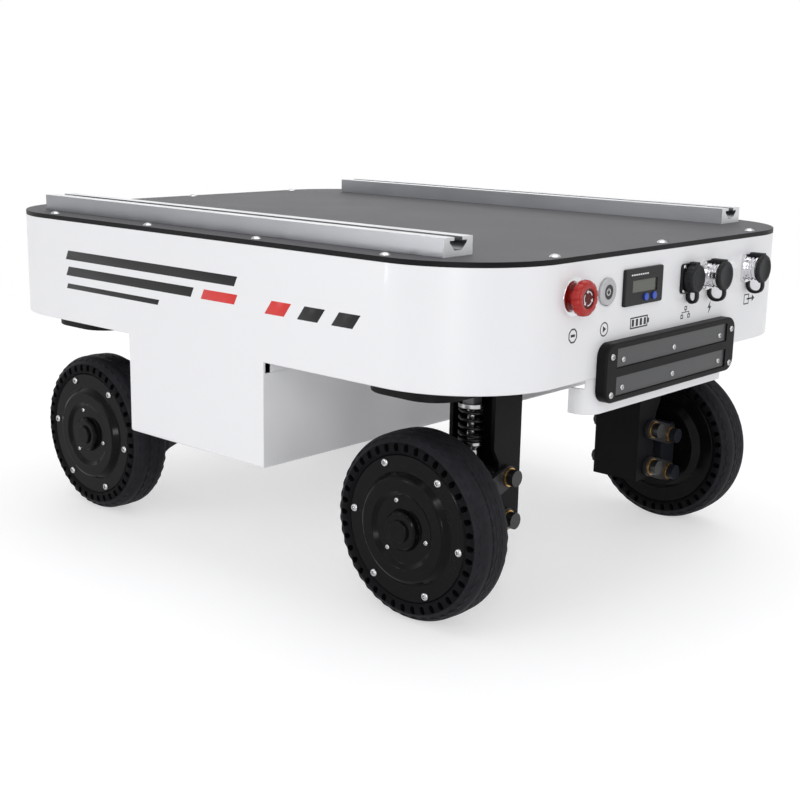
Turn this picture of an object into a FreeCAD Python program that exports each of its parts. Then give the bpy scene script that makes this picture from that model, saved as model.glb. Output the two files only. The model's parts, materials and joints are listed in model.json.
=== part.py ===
import FreeCAD, Part
import math
import os
import re

import Sketcher

# Four-wheel mobile robot chassis: a sheet-metal tub on a base plate, with a hub motor on a
# sprung parallelogram at each corner. Millimetres. +X points to the controls end, +Z up, and
# the origin lies on the ground under the middle of the whole robot.

SIZES = {
    # chassis
    "body_length": 661.4,
    "body_width": 534.6,
    "corner_radius": 97,
    "body_bottom": 213,
    "body_top": 313,
    "skin": 2,
    "top_flange": 18,
    "bottom_hem": 14,
    "plate_inset": 8,
    "plate_thickness": 10,
    "fit_gap": 0.3,
    "deck_thickness": 4.4,
    "deck_edge": 0.6,
    # belly that holds the battery, and the apron at the controls end
    "belly_length": 189,
    "belly_bottom": 117,
    "belly_bend": 3,
    "apron_width": 233,
    "apron_bottom": 181,
    "apron_depth": 22,
    "apron_bend": 16,
    # deck screws
    "screw_inset": 10,
    "side_screw_pitch": 150,
    "end_screw_pitch": 162.6,
    "screw_radius": 2.5,
    "screw_hole_radius": 2.7,
    "screw_head_radius": 4.75,
    "screw_head_height": 2.4,
    # T-slot rails
    "rail_length": 538,
    "rail_inner_side": 202.4,
    "rail_width": 36,
    "rail_height": 15.4,
    "slot_opening": 10,
    "slot_width": 21,
    "slot_floor": 9,
    "slot_lip": 2.8,
    "slot_wall": 1.6,
    "slot_depth": 10.6,
    # wheels
    "wheelbase": 447.6,
    "wheel_middle": 204,
    "wheel_radius": 82.5,
    "tyre_width": 44,
    "tyre_shoulder": 8,
    "rim_radius": 64.5,
    "rim_width": 41,
    "hole_count": 40,
    "hole_circle": 70.6,
    "hole_width": 5,
    "hole_height": 7.2,
    "tread_groove": 1.2,
    "seat_gap": 0.1,
    "cover_dome_radius": 47,
    "cover_dome_height": 5.5,
    "cover_dish_radius": 32,
    "cover_dish_depth": 3,
    "cover_boss_radius": 17,
    "cover_boss_height": 6,
    "cover_cap_radius": 10,
    "cover_cap_height": 2.5,
    "inner_hub_reach": 27,
    "axle_radius": 8,
    "axle_reach": 16,
    "axle_shoulder_radius": 12,
    "axle_nut_width": 22,
    "axle_nut_height": 9,
    "axle_tail": 3,
    "running_gap": 0.05,
    # suspension bracket, its depths counted from the frame pivots
    "bracket_width": 51,
    "bracket_wall": 4,
    "bracket_back": 21,
    "bracket_end": 12.5,
    "flange_depth": 17.5,
    "waist_depth": 10,
    "waist_height": 26.5,
    "waist_slope": 12,
    "foot_back": 37,
    "foot_front": 29,
    "foot_bolt_radius": 4,
    "foot_head_width": 13,
    "foot_head_height": 5,
    "bracket_round": 7,
    # arms and knuckle
    "pivot_spacing": 39,
    "arm_run": 35,
    "arm_drop": 11.5,
    "arm_thickness": 4,
    "arm_end_radius": 10,
    "arm_play": 0.4,
    "bolt_radius": 5,
    "bolt_head_radius": 7.5,
    "bolt_head_height": 7,
    "bolt_tail": 3,
    "washer_radius": 8.5,
    "washer_thickness": 1.5,
    "nut_width": 15,
    "nut_height": 6,
    "cross_pin_radius": 4,
    "knuckle_gap": 5,
    "knuckle_depth": 25.5,
    "pivot_inset": 16,
    "knuckle_web": 12,
    "knuckle_cheek": 8.4,
    "knuckle_end": 10.5,
    "knuckle_slant": 4,
    # damper, its place counted from the frame pivots and its heights from the foot and the eye
    "damper_offset": 18,
    "damper_block": 12,
    "damper_block_drop": 20,
    "damper_seat_radius": 12.25,
    "damper_seat_height": 3.5,
    "damper_rod_radius": 4,
    "damper_rod_length": 51,
    "damper_body_radius": 8,
    "damper_body_base": 6.75,
    "damper_bore_base": 9.75,
    "damper_collar_rise": 37.25,
    "damper_lip": 1,
    "damper_eye_radius": 8,
    "damper_eye_width": 13,
    "damper_eye_play": 1.3,
    "spring_wire": 3.2,
    "spring_turns": 5.5,
    # controls
    "stop_across": -147,
    "stop_height": 285,
    "stop_collar_radius": 15.5,
    "stop_collar_height": 4,
    "stop_barrel_radius": 11,
    "stop_barrel_length": 24,
    "stop_stem_radius": 6,
    "stop_head_radius": 15,
    "stop_head_height": 11,
    "stop_reach": 20,
    "start_across": -101.5,
    "start_height": 284.7,
    "start_bezel_radius": 11.8,
    "start_bezel_height": 3,
    "start_barrel_radius": 9,
    "start_barrel_length": 20,
    "start_plunger_radius": 6.2,
    "meter_across": -46.3,
    "meter_height": 284.8,
    "meter_width": 60.4,
    "meter_tall": 31.6,
    "meter_bezel": 3,
    "meter_body_width": 56,
    "meter_body_tall": 27.4,
    "meter_body_depth": 20,
    "window_width": 39.4,
    "window_tall": 10.9,
    "window_depth": 1.2,
    "window_shift": 1,
    "key_radius": 3.25,
    "key_left": 2.5,
    "key_right": 15.5,
    "key_drop": 9.5,
    "key_proud": 1.4,
    "key_depth": 4,
    "cutout_gap": 0.5,
    # panel sockets
    "socket_height": 284.3,
    "data_across": 31.5,
    "charge_across": 70,
    "discharge_across": 145,
    "socket_flange": 27,
    "socket_flange_thickness": 2.5,
    "socket_barrel_radius": 10.5,
    "socket_barrel_reach": 10,
    "socket_neck_radius": 11.5,
    "socket_neck_reach": 5.5,
    "socket_rear_length": 18,
    "socket_recess_radius": 8.5,
    "socket_recess_depth": 7,
    "contact_radius": 1,
    "contact_circle": 4.5,
    "cap_radius": 13.6,
    "cap_reach": 18,
    "data_cap_reach": 13,
    "cap_floor": 3,
    "grip_grooves": 24,
    "grip_length": 4.5,
    "grip_groove_radius": 0.9,
    "latch_width": 7,
    "latch_height": 3,
    "latch_length": 5,
    # charging contacts
    "charge_width": 220,
    "charge_tall": 51,
    "charge_middle": 216.5,
    "charge_depth": 10,
    "charge_corner": 12,
    "strip_width": 187,
    "strip_tall": 16.3,
    "strip_offset": 12.15,
    "strip_thickness": 4,
    "strip_recess": 1.5,
    # inside
    "battery_length": 182,
    "battery_width": 500,
    "battery_tall": 78,
    "control_length": 240,
    "control_width": 300,
    "control_tall": 64,
    "control_back": -190,
    "inner_round": 4,
}

# Each corner: +1 or -1 towards the controls end, and +1 or -1 towards the left side.
CORNERS = {
    "front_left": (1, 1),
    "front_right": (1, -1),
    "rear_left": (-1, 1),
    "rear_right": (-1, -1),
}

# Places that several pieces share. Out from the robot's middle line, at each wheel:
KNUCKLE_OUTER = "(wheel_middle - inner_hub_reach - knuckle_gap)"
KNUCKLE_INNER = f"({KNUCKLE_OUTER} - knuckle_depth)"
KNUCKLE_PIVOT = f"({KNUCKLE_OUTER} - pivot_inset)"
FRAME_PIVOT = f"({KNUCKLE_PIVOT} - arm_run)"
DAMPER_OUT = f"({FRAME_PIVOT} + damper_offset)"
# Up from the ground:
UPPER_PIVOT = "(wheel_radius + pivot_spacing/2 + arm_drop)"
LOWER_PIVOT = "(wheel_radius - pivot_spacing/2 + arm_drop)"
PIN_DROP = "(arm_drop*damper_offset/arm_run)"
EYE_HEIGHT = f"({UPPER_PIVOT} - {PIN_DROP})"
UNDER_PLATE = "(body_bottom - plate_thickness)"
UNDER_FOOT = f"({UNDER_PLATE} - bracket_wall)"
BLOCK_BOTTOM = f"({UNDER_FOOT} - damper_block_drop)"
DECK_TOP = "(body_top + deck_thickness)"
# The face that a pivot bolt's head or nut bears on, from the middle of its bracket:
BOLT_FACE = "(bracket_width/2 + arm_play + arm_thickness + fit_gap)"

V = FreeCAD.Vector
TURN_X = FreeCAD.Rotation(V(0, 1, 0), 90)
TURN_Y = FreeCAD.Rotation(V(1, 0, 0), -90)
UPRIGHT = FreeCAD.Rotation()
HALF_TURN = FreeCAD.Rotation(V(0, 0, 1), 180)
DIRECTIONS = {"x": TURN_X, "y": TURN_Y, "z": UPRIGHT}

doc = FreeCAD.newDocument("mobile_robot")
sheet = doc.addObject("Spreadsheet::Sheet", "Sizes")
for row, (name, size) in enumerate(SIZES.items(), 1):
    sheet.set(f"A{row}", name)
    sheet.set(f"B{row}", str(size))
    sheet.setAlias(f"B{row}", name)
doc.recompute()

nodes = []


# ---------------------------------------------------------------- helpers

def formula(text):
    """A formula in which each size's name points at its cell."""
    return re.sub(r"[a-z]\w*", lambda m: f"Sizes.{m[0]}" if m[0] in SIZES else m[0], str(text))


def number(text):
    """What a formula comes to now."""
    return float(sheet.evalExpression(formula(text)))


def bind(target, **sizes):
    """Tie properties of an object to formulas."""
    for prop, text in sizes.items():
        target.setExpression(prop, formula(text))


def place(target, x="0", y="0", z="0", turn=UPRIGHT):
    """Put an object at a point given by formulas."""
    target.Placement = FreeCAD.Placement(V(number(x), number(y), number(z)), turn)
    target.setExpression("Placement.Base.x", formula(x))
    target.setExpression("Placement.Base.y", formula(y))
    target.setExpression("Placement.Base.z", formula(z))


def keep(target, label, x="0", y="0", z="0", turn=UPRIGHT):
    """Name a finished sub-part and stand it in the robot, whose middle is half the stop's reach back."""
    target.Label = label
    place(target, f"({x}) - stop_reach/2", y, z, turn)
    nodes.append(target)


def keep_at_corner(target, label, corner, out="0", up="0"):
    """Stand a sub-part at a wheel: its own +Y points out of the robot."""
    along, across = CORNERS[corner]
    turn = UPRIGHT if across > 0 else HALF_TURN
    keep(target, f"{label}_{corner}", f"{along}*wheelbase/2", f"{across}*({out})", up, turn)


def keep_at_front(target, label, across="0", height="0"):
    """Stand a sub-part on the controls end: its own +X points out of the face."""
    keep(target, label, "body_length/2", across, height)


def block(length, width, height, x="0", y="0", z="0", name="block"):
    """Box centred on x and y, standing up from z."""
    solid = doc.addObject("Part::Box", name)
    bind(solid, Length=length, Width=width, Height=height)
    place(solid, f"({x}) - ({length})/2", f"({y}) - ({width})/2", z)
    return solid


def rod(radius, length, x="0", y="0", z="0", along="z", name="rod"):
    """Cylinder from a point along an axis."""
    solid = doc.addObject("Part::Cylinder", name)
    bind(solid, Radius=radius, Height=length)
    place(solid, x, y, z, DIRECTIONS[along])
    return solid


def hexagon(width, length, x="0", y="0", z="0", along="z", name="hexagon"):
    """Hexagonal prism of a given width across flats."""
    solid = doc.addObject("Part::Prism", name)
    solid.Polygon = 6
    bind(solid, Circumradius=f"({width})/sqrt(3)", Height=length)
    place(solid, x, y, z, DIRECTIONS[along])
    return solid


def join(parts, name="joined"):
    """One solid from several."""
    fused = doc.addObject("Part::MultiFuse", name)
    fused.Shapes = parts
    return fused


def cut(base, tools, name="cut"):
    """A solid less one or more others."""
    result = doc.addObject("Part::Cut", name)
    result.Base = base
    result.Tool = tools[0] if len(tools) == 1 else join(tools, name + "_tools")
    return result


def group(parts, name="group"):
    """Separate solids that share a node."""
    compound = doc.addObject("Part::Compound", name)
    compound.Links = parts
    return compound


def new_body(name):
    """Empty PartDesign body."""
    return doc.addObject("PartDesign::Body", name)


def new_sketch(body, plane, offset="0"):
    """Sketch on one of a body's own planes, moved along that plane's normal."""
    sketch = body.newObject("Sketcher::SketchObject", f"{body.Name}_sketch")
    support = next(f for f in body.Origin.OriginFeatures if f.Role == f"{plane}_Plane")
    sketch.AttachmentSupport = (support, [""])
    sketch.MapMode = "FlatFace"
    sketch.setExpression("AttachmentOffset.Base.z", formula(offset))
    return sketch


def measure(sketch, kind, first, point, text):
    """Fix a point's distance from the sketch's origin."""
    index = sketch.addConstraint(Sketcher.Constraint(kind, -1, 1, first, point, number(text)))
    sketch.setExpression(f"Constraints[{index}]", formula(text))


def outline(sketch, points):
    """Closed outline through points, each a pair of formulas."""
    first = sketch.GeometryCount
    spots = [V(number(u), number(v), 0) for u, v in points]
    count = len(points)
    for index in range(count):
        sketch.addGeometry(Part.LineSegment(spots[index], spots[(index + 1) % count]), False)
    for index in range(count):
        after = first + (index + 1) % count
        sketch.addConstraint(Sketcher.Constraint("Coincident", first + index, 2, after, 1))
    for index, (u, v) in enumerate(points):
        measure(sketch, "DistanceX", first + index, 1, u)
        measure(sketch, "DistanceY", first + index, 1, v)
    return sketch


def rectangle(sketch, length, width, x="0", y="0"):
    """Rectangle centred on a point."""
    left, right = f"({x}) - ({length})/2", f"({x}) + ({length})/2"
    low, high = f"({y}) - ({width})/2", f"({y}) + ({width})/2"
    return outline(sketch, [(left, low), (right, low), (right, high), (left, high)])


def circle(sketch, radius, x="0", y="0"):
    """Circle about a point."""
    centre = V(number(x), number(y), 0)
    index = sketch.addGeometry(Part.Circle(centre, V(0, 0, 1), number(radius)), False)
    bound = sketch.addConstraint(Sketcher.Constraint("Radius", index, number(radius)))
    sketch.setExpression(f"Constraints[{bound}]", formula(radius))
    measure(sketch, "DistanceX", index, 3, x)
    measure(sketch, "DistanceY", index, 3, y)
    return sketch


def rounded_rectangle(sketch, length, width, radius, x="0", y="0"):
    """Rectangle with round corners, centred on a point."""
    first = sketch.GeometryCount
    round_radius = number(radius)
    signs = [(1, 1), (-1, 1), (-1, -1), (1, -1)]
    centres = [
        (f"({x}) + {along}*(({length})/2 - ({radius}))", f"({y}) + {across}*(({width})/2 - ({radius}))")
        for along, across in signs
    ]
    arcs = []
    for quarter, (u, v) in enumerate(centres):
        whole = Part.Circle(V(number(u), number(v), 0), V(0, 0, 1), round_radius)
        arc = Part.ArcOfCircle(whole, quarter * math.pi / 2, (quarter + 1) * math.pi / 2)
        arcs.append(arc)
        sketch.addGeometry(arc, False)
    for quarter in range(4):
        line = Part.LineSegment(arcs[quarter].EndPoint, arcs[(quarter + 1) % 4].StartPoint)
        sketch.addGeometry(line, False)
    for quarter in range(4):
        line, after = first + 4 + quarter, first + (quarter + 1) % 4
        sketch.addConstraint(Sketcher.Constraint("Tangent", first + quarter, 2, line, 1))
        sketch.addConstraint(Sketcher.Constraint("Tangent", line, 2, after, 1))
        direction = "Vertical" if quarter % 2 else "Horizontal"
        sketch.addConstraint(Sketcher.Constraint(direction, line))
    for quarter in range(1, 4):
        sketch.addConstraint(Sketcher.Constraint("Equal", first, first + quarter))
    bound = sketch.addConstraint(Sketcher.Constraint("Radius", first, round_radius))
    sketch.setExpression(f"Constraints[{bound}]", formula(radius))
    for quarter in (0, 2):
        measure(sketch, "DistanceX", first + quarter, 3, centres[quarter][0])
        measure(sketch, "DistanceY", first + quarter, 3, centres[quarter][1])
    return sketch


def pad(body, sketch, length, both_ways=False, backwards=False):
    """Add a sketch's sweep to a body."""
    feature = body.newObject("PartDesign::Pad", f"{body.Name}_pad")
    feature.Profile = sketch
    bind(feature, Length=length)
    feature.Midplane = both_ways
    feature.Reversed = backwards
    return feature


def pocket(body, sketch, length, both_ways=False, forwards=False):
    """Cut a sketch's sweep out of a body, against the plane's normal unless it goes forwards."""
    doc.recompute()
    before = body.Tip.Shape.Volume
    feature = body.newObject("PartDesign::Pocket", f"{body.Name}_pocket")
    feature.Profile = sketch
    bind(feature, Length=length)
    feature.Midplane = both_ways
    feature.Reversed = forwards
    doc.recompute()
    if feature.Shape.Volume >= before:
        raise RuntimeError(f"{feature.Name} cuts nothing")
    return feature


def revolve(body, sketch, axis="H_Axis"):
    """Turn a sketch about one of its own axes."""
    feature = body.newObject("PartDesign::Revolution", f"{body.Name}_turned")
    feature.Profile = sketch
    feature.ReferenceAxis = (sketch, [axis])
    feature.Angle = 360
    return feature


def repeat_round(body, feature, axis, count):
    """Repeat a feature about one of the body's own axes."""
    pattern = body.newObject("PartDesign::PolarPattern", f"{body.Name}_pattern")
    pattern.Originals = [feature]
    line = next(f for f in body.Origin.OriginFeatures if f.Role == f"{axis}_Axis")
    pattern.Axis = (line, [""])
    pattern.Angle = 360
    bind(pattern, Occurrences=count)
    body.Tip = pattern
    return pattern


def round_edges(body, radius, wanted):
    """Fillet the edges of a body that pass a test on their middle point and direction."""
    doc.recompute()
    tip = body.Tip
    names = []
    for index, edge in enumerate(tip.Shape.Edges, 1):
        if wanted(edge):
            names.append(f"Edge{index}")
    if not names:
        raise RuntimeError(f"{body.Name} has no edge to round")
    fillet = body.newObject("PartDesign::Fillet", f"{body.Name}_round")
    fillet.Base = (tip, names)
    bind(fillet, Radius=radius)
    return fillet


def runs_along(edge, direction):
    """True for a straight edge along a direction."""
    if edge.Curve.TypeId != "Part::GeomLine":
        return False
    return abs(abs(edge.tangentAt(edge.FirstParameter).dot(direction)) - 1) < 1e-6


def middle(edge):
    """Point halfway along an edge."""
    return edge.valueAt((edge.FirstParameter + edge.LastParameter) / 2)


# ---------------------------------------------------------------- chassis

def make_body_shell():
    """Folded tub: rounded skirt with the belly and the apron below it, open over the deck flange."""
    body = new_body("body_shell")
    skirt = rounded_rectangle(new_sketch(body, "XY", "body_bottom"), "body_length", "body_width", "corner_radius")
    pad(body, skirt, "body_top - body_bottom")
    belly = rectangle(new_sketch(body, "XY", "belly_bottom"), "belly_length", "body_width")
    pad(body, belly, "body_bottom - belly_bottom")
    apron_middle = "body_length/2 - apron_depth/2"
    apron = rectangle(new_sketch(body, "XY", "apron_bottom"), "apron_depth", "apron_width", apron_middle)
    pad(body, apron, "body_bottom - apron_bottom")
    face, low, middle_height = number("body_length/2"), number("apron_bottom"), number("body_bottom")
    round_edges(body, "apron_bend", lambda e: runs_along(e, V(0, 0, 1))
                and abs(middle(e).x - face) < 0.1 and low < middle(e).z < middle_height)
    belly_low = number("belly_bottom")
    round_edges(body, "belly_bend", lambda e: abs(e.BoundBox.ZMin - belly_low) < 0.1
                and abs(e.BoundBox.ZMax - belly_low) < 0.1)

    room = rounded_rectangle(new_sketch(body, "XY", "body_bottom + skin"), "body_length - 2*skin",
                             "body_width - 2*skin", "corner_radius - skin")
    pocket(body, room, "body_top - body_bottom - 2*skin", forwards=True)
    mouth = rounded_rectangle(new_sketch(body, "XY", "body_top - skin"), "body_length - 2*top_flange",
                              "body_width - 2*top_flange", "corner_radius - top_flange")
    pocket(body, mouth, "skin", forwards=True)
    hem = rounded_rectangle(new_sketch(body, "XY", "body_bottom"), "body_length - 2*bottom_hem",
                            "body_width - 2*bottom_hem", "corner_radius - bottom_hem")
    pocket(body, hem, "skin", forwards=True)
    belly_room = rectangle(new_sketch(body, "XY", "belly_bottom + skin"), "belly_length - 2*skin",
                           "body_width - 2*skin")
    pocket(body, belly_room, "body_bottom - belly_bottom", forwards=True)
    apron_room = rounded_rectangle(new_sketch(body, "XY", "apron_bottom + skin"), "2*apron_depth - 2*skin",
                                   "apron_width - 2*skin", "apron_bend - skin", "body_length/2 - apron_depth")
    pocket(body, apron_room, "body_bottom - apron_bottom - skin", forwards=True)
    plate_room = rounded_rectangle(new_sketch(body, "XY", UNDER_PLATE),
                                   "body_length - 2*plate_inset + 2*fit_gap",
                                   "body_width - 2*plate_inset + 2*fit_gap",
                                   "corner_radius - plate_inset + fit_gap")
    pocket(body, plate_room, "plate_thickness", forwards=True)

    holes = new_sketch(body, "XY", "body_top - skin")
    for x, y in deck_screw_places():
        circle(holes, "screw_hole_radius", x, y)
    pocket(body, holes, "skin", forwards=True)

    cutouts = new_sketch(body, "YZ", "body_length/2")
    circle(cutouts, "stop_barrel_radius + cutout_gap", "stop_across", "stop_height")
    circle(cutouts, "start_barrel_radius + cutout_gap", "start_across", "start_height")
    rectangle(cutouts, "meter_body_width + 2*cutout_gap", "meter_body_tall + 2*cutout_gap",
              "meter_across", "meter_height")
    for across in ("data_across", "charge_across", "discharge_across"):
        circle(cutouts, "socket_barrel_radius + cutout_gap", across, "socket_height")
    pocket(body, cutouts, "2*skin")
    keep(body, "body_shell")


def deck_screw_places():
    """Fourteen screw places: four along each side and three along each end."""
    side = "body_width/2 - screw_inset"
    end = "body_length/2 - screw_inset"
    places = []
    for across in (-1, 1):
        for step in (-1.5, -0.5, 0.5, 1.5):
            places.append((f"{step}*side_screw_pitch", f"{across}*({side})"))
    for along in (-1, 1):
        for step in (-1, 0, 1):
            places.append((f"{along}*({end})", f"{step}*end_screw_pitch"))
    return places


def make_deck_plate():
    """Plate that closes the tub."""
    body = new_body("deck_plate")
    plate = rounded_rectangle(new_sketch(body, "XY", "body_top"), "body_length", "body_width", "corner_radius")
    pad(body, plate, "deck_thickness")
    top = number(DECK_TOP)
    round_edges(body, "deck_edge", lambda e: abs(e.BoundBox.ZMin - top) < 0.01)
    holes = new_sketch(body, "XY", "body_top")
    for x, y in deck_screw_places():
        circle(holes, "screw_hole_radius", x, y)
    pocket(body, holes, "deck_thickness", forwards=True)
    keep(body, "deck_plate")


def make_deck_screws():
    """Truss-head screws with a domed head on the deck and a shank through the flange."""
    screws = []
    dome = "(screw_head_radius*screw_head_radius + screw_head_height*screw_head_height)/(2*screw_head_height)"
    for x, y in deck_screw_places():
        ball = doc.addObject("Part::Sphere", "screw_dome")
        bind(ball, Radius=dome)
        place(ball, x, y, f"{DECK_TOP} + screw_head_height - ({dome})")
        seat = rod("2*screw_head_radius", "screw_head_height", x, y, DECK_TOP, name="screw_seat")
        head = doc.addObject("Part::Common", "screw_head")
        head.Base = ball
        head.Tool = seat
        shank = rod("screw_radius", "deck_thickness + 3*skin", x, y, "body_top - 3*skin", name="screw_shank")
        screws.append(join([head, shank], "deck_screw"))
    keep(group(screws, "deck_screws"), "deck_screws")


def make_rail(label, across):
    """Low T-slot rail, the slot open along its top."""
    body = new_body(label)
    half, top = "rail_width/2", "rail_height"
    under_lip = "rail_height - slot_lip"
    one_side = [
        (half, "0"),
        (half, top),
        ("slot_opening/2", top),
        ("slot_opening/2", under_lip),
        ("slot_width/2", under_lip),
        ("slot_width/2", f"{under_lip} - slot_wall"),
        ("slot_floor/2", "rail_height - slot_depth"),
    ]
    other_side = [(f"-({u})", v) for u, v in reversed(one_side)]
    pad(body, outline(new_sketch(body, "YZ"), one_side + other_side), "rail_length", both_ways=True)
    keep(body, label, "0", f"{across}*(rail_inner_side + rail_width/2)", DECK_TOP)


def make_base_plate():
    """Plate that the tub stands on and the four brackets bolt under."""
    body = new_body("base_plate")
    plate = rounded_rectangle(new_sketch(body, "XY", UNDER_PLATE),
                              "body_length - 2*plate_inset", "body_width - 2*plate_inset",
                              "corner_radius - plate_inset")
    pad(body, plate, "plate_thickness")
    holes = new_sketch(body, "XY", UNDER_PLATE)
    for along, across in CORNERS.values():
        for x, y in foot_bolt_places():
            circle(holes, "foot_bolt_radius + fit_gap", f"{along}*wheelbase/2 + {across}*({x})", f"{across}*({y})")
        circle(holes, "2*bolt_radius", f"{along}*wheelbase/3", f"{across}*rail_inner_side/2")
    pocket(body, holes, "plate_thickness", forwards=True)
    keep(body, "base_plate")


def foot_bolt_places():
    """Places of a bracket's four foot bolts, in the bracket's own frame."""
    rows = (f"{FRAME_PIVOT} - bracket_back - 8", f"{FRAME_PIVOT} - bracket_back + 15")
    return [(f"{side}*bracket_width/4", y) for side in (-1, 1) for y in rows]


def make_battery_pack():
    """Sealed pack that lies on the belly's floor."""
    pack = block("battery_length", "battery_width", "battery_tall", z="belly_bottom + skin", name="pack_block")
    rounded = doc.addObject("Part::Fillet", "battery_pack")
    rounded.Base = pack
    doc.recompute()
    radius = number("inner_round")
    rounded.Edges = [(i, radius, radius) for i, e in enumerate(pack.Shape.Edges, 1) if runs_along(e, V(0, 0, 1))]
    keep(rounded, "battery_pack")


def make_control_box():
    """Controller housing with a finned lid, on the base plate."""
    case = block("control_length", "control_width", "control_tall", "control_back", "0", "body_bottom", "case")
    slots = []
    for step in range(-4, 5):
        slots.append(block("control_length - 40", "12", "6", "control_back", f"{step}*control_width/10",
                           "body_bottom + control_tall - 6", "fin_gap"))
    keep(cut(case, slots, "control_box"), "control_box")


# ---------------------------------------------------------------- wheels and suspension

def make_tyre(corner):
    """Airless tyre: crowned tread with two grooves, and a ring of oval holes right through it."""
    body = new_body("tyre")
    half = "tyre_width/2"
    inner, outer = "rim_radius + seat_gap", "wheel_radius"
    profile = [
        (f"-{half} + 2", inner),
        (f"{half} - 2", inner),
        (half, f"{inner} + 3"),
        (half, f"{outer} - tyre_shoulder - 1"),
        (f"{half} - tyre_shoulder", outer),
        ("tyre_width/8 + tread_groove", outer),
        ("tyre_width/8", f"{outer} - tread_groove"),
        ("tyre_width/8 - tread_groove", outer),
        ("-tyre_width/8 + tread_groove", outer),
        ("-tyre_width/8", f"{outer} - tread_groove"),
        ("-tyre_width/8 - tread_groove", outer),
        (f"-{half} + tyre_shoulder", outer),
        (f"-{half}", f"{outer} - tyre_shoulder - 1"),
        (f"-{half}", f"{inner} + 3"),
    ]
    revolve(body, outline(new_sketch(body, "YZ"), profile))
    edge_radius = number("wheel_radius")
    shoulder_radius = number("wheel_radius - tyre_shoulder - 1")
    crown = number("tyre_width/2 - tyre_shoulder") - 0.1
    round_edges(body, "tyre_shoulder", lambda e: abs(middle(e).y) > crown and e.Curve.TypeId == "Part::GeomCircle"
                and min(abs(e.Curve.Radius - edge_radius), abs(e.Curve.Radius - shoulder_radius)) < 0.01)
    hole = new_sketch(body, "XZ")
    straight = "(hole_height - hole_width)/2"
    slot(hole, "hole_width/2", f"hole_circle - {straight}", f"hole_circle + {straight}")
    opening = pocket(body, hole, "2*tyre_width", both_ways=True)
    repeat_round(body, opening, "Y", "hole_count")
    keep_at_corner(body, "tyre", corner, "wheel_middle", "wheel_radius")


def slot(sketch, radius, low, high):
    """Upright slot with round ends, its middle line on the sketch's own upright axis."""
    first = sketch.GeometryCount
    size = number(radius)
    ends = [V(0, number(high), 0), V(0, number(low), 0)]
    upper = Part.ArcOfCircle(Part.Circle(ends[0], V(0, 0, 1), size), 0, math.pi)
    lower = Part.ArcOfCircle(Part.Circle(ends[1], V(0, 0, 1), size), math.pi, 2 * math.pi)
    sketch.addGeometry(upper, False)
    sketch.addGeometry(Part.LineSegment(upper.EndPoint, lower.StartPoint), False)
    sketch.addGeometry(lower, False)
    sketch.addGeometry(Part.LineSegment(lower.EndPoint, upper.StartPoint), False)
    for step in range(4):
        after = first + (step + 1) % 4
        sketch.addConstraint(Sketcher.Constraint("Tangent", first + step, 2, after, 1))
    sketch.addConstraint(Sketcher.Constraint("Vertical", first + 1))
    sketch.addConstraint(Sketcher.Constraint("Equal", first, first + 2))
    bound = sketch.addConstraint(Sketcher.Constraint("Radius", first, size))
    sketch.setExpression(f"Constraints[{bound}]", formula(radius))
    sketch.addConstraint(Sketcher.Constraint("PointOnObject", first, 3, -2))
    measure(sketch, "DistanceY", first, 3, high)
    measure(sketch, "DistanceY", first + 2, 3, low)
    return sketch


def make_hub_motor(corner):
    """Motor shell that the tyre sits on: flat screw flange, raised dome, dish and boss outside,
    a plainer dome with the axle's bore inside."""
    body = new_body("hub_motor")
    face = "rim_width/2"
    dome = "rim_width/2 + cover_dome_height"
    dish = f"{dome} - cover_dish_depth"
    boss = f"{dish} + cover_boss_height"
    bore = "axle_radius + running_gap"
    profile = [
        ("-inner_hub_reach", bore),
        ("-inner_hub_reach", "cover_dome_radius - 3"),
        ("-rim_width/2", "cover_dome_radius + 3"),
        ("-rim_width/2", "rim_radius - 1"),
        ("-rim_width/2 + 1", "rim_radius"),
        ("rim_width/2 - 1", "rim_radius"),
        (face, "rim_radius - 1"),
        (face, "cover_dome_radius + 3"),
        (f"{dome} - 1", "cover_dome_radius - 1"),
        (dome, "cover_dome_radius - 3"),
        (dome, "cover_dish_radius + 2"),
        (dish, "cover_dish_radius - 2"),
        (dish, "cover_boss_radius + 1.5"),
        (f"{boss} - 1.5", "cover_boss_radius"),
        (boss, "cover_boss_radius - 1.5"),
        (boss, "cover_cap_radius"),
        (f"{boss} + cover_cap_height - 0.8", "cover_cap_radius"),
        (f"{boss} + cover_cap_height", "cover_cap_radius - 0.8"),
        (f"{boss} + cover_cap_height", "0"),
        ("axle_reach + fit_gap", "0"),
        ("axle_reach + fit_gap", bore),
    ]
    revolve(body, outline(new_sketch(body, "YZ"), profile))
    keep_at_corner(body, "hub_motor", corner, "wheel_middle", "wheel_radius")


def make_axle(corner):
    """Fixed axle: it carries the hub outside and is clamped in the knuckle by a nut inside."""
    nut_end = f"{KNUCKLE_OUTER} - knuckle_web - axle_nut_height"
    inner_end = f"{nut_end} - axle_tail"
    shaft = rod("axle_radius", f"wheel_middle + axle_reach - ({inner_end})", y=inner_end, z="wheel_radius",
                along="y", name="shaft")
    shoulder = rod("axle_shoulder_radius", "knuckle_gap - fit_gap", y=KNUCKLE_OUTER, z="wheel_radius",
                   along="y", name="shoulder")
    nut = hexagon("axle_nut_width", "axle_nut_height", y=nut_end, z="wheel_radius", along="y", name="axle_nut")
    keep_at_corner(join([shaft, shoulder, nut], "axle"), "axle", corner)


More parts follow.
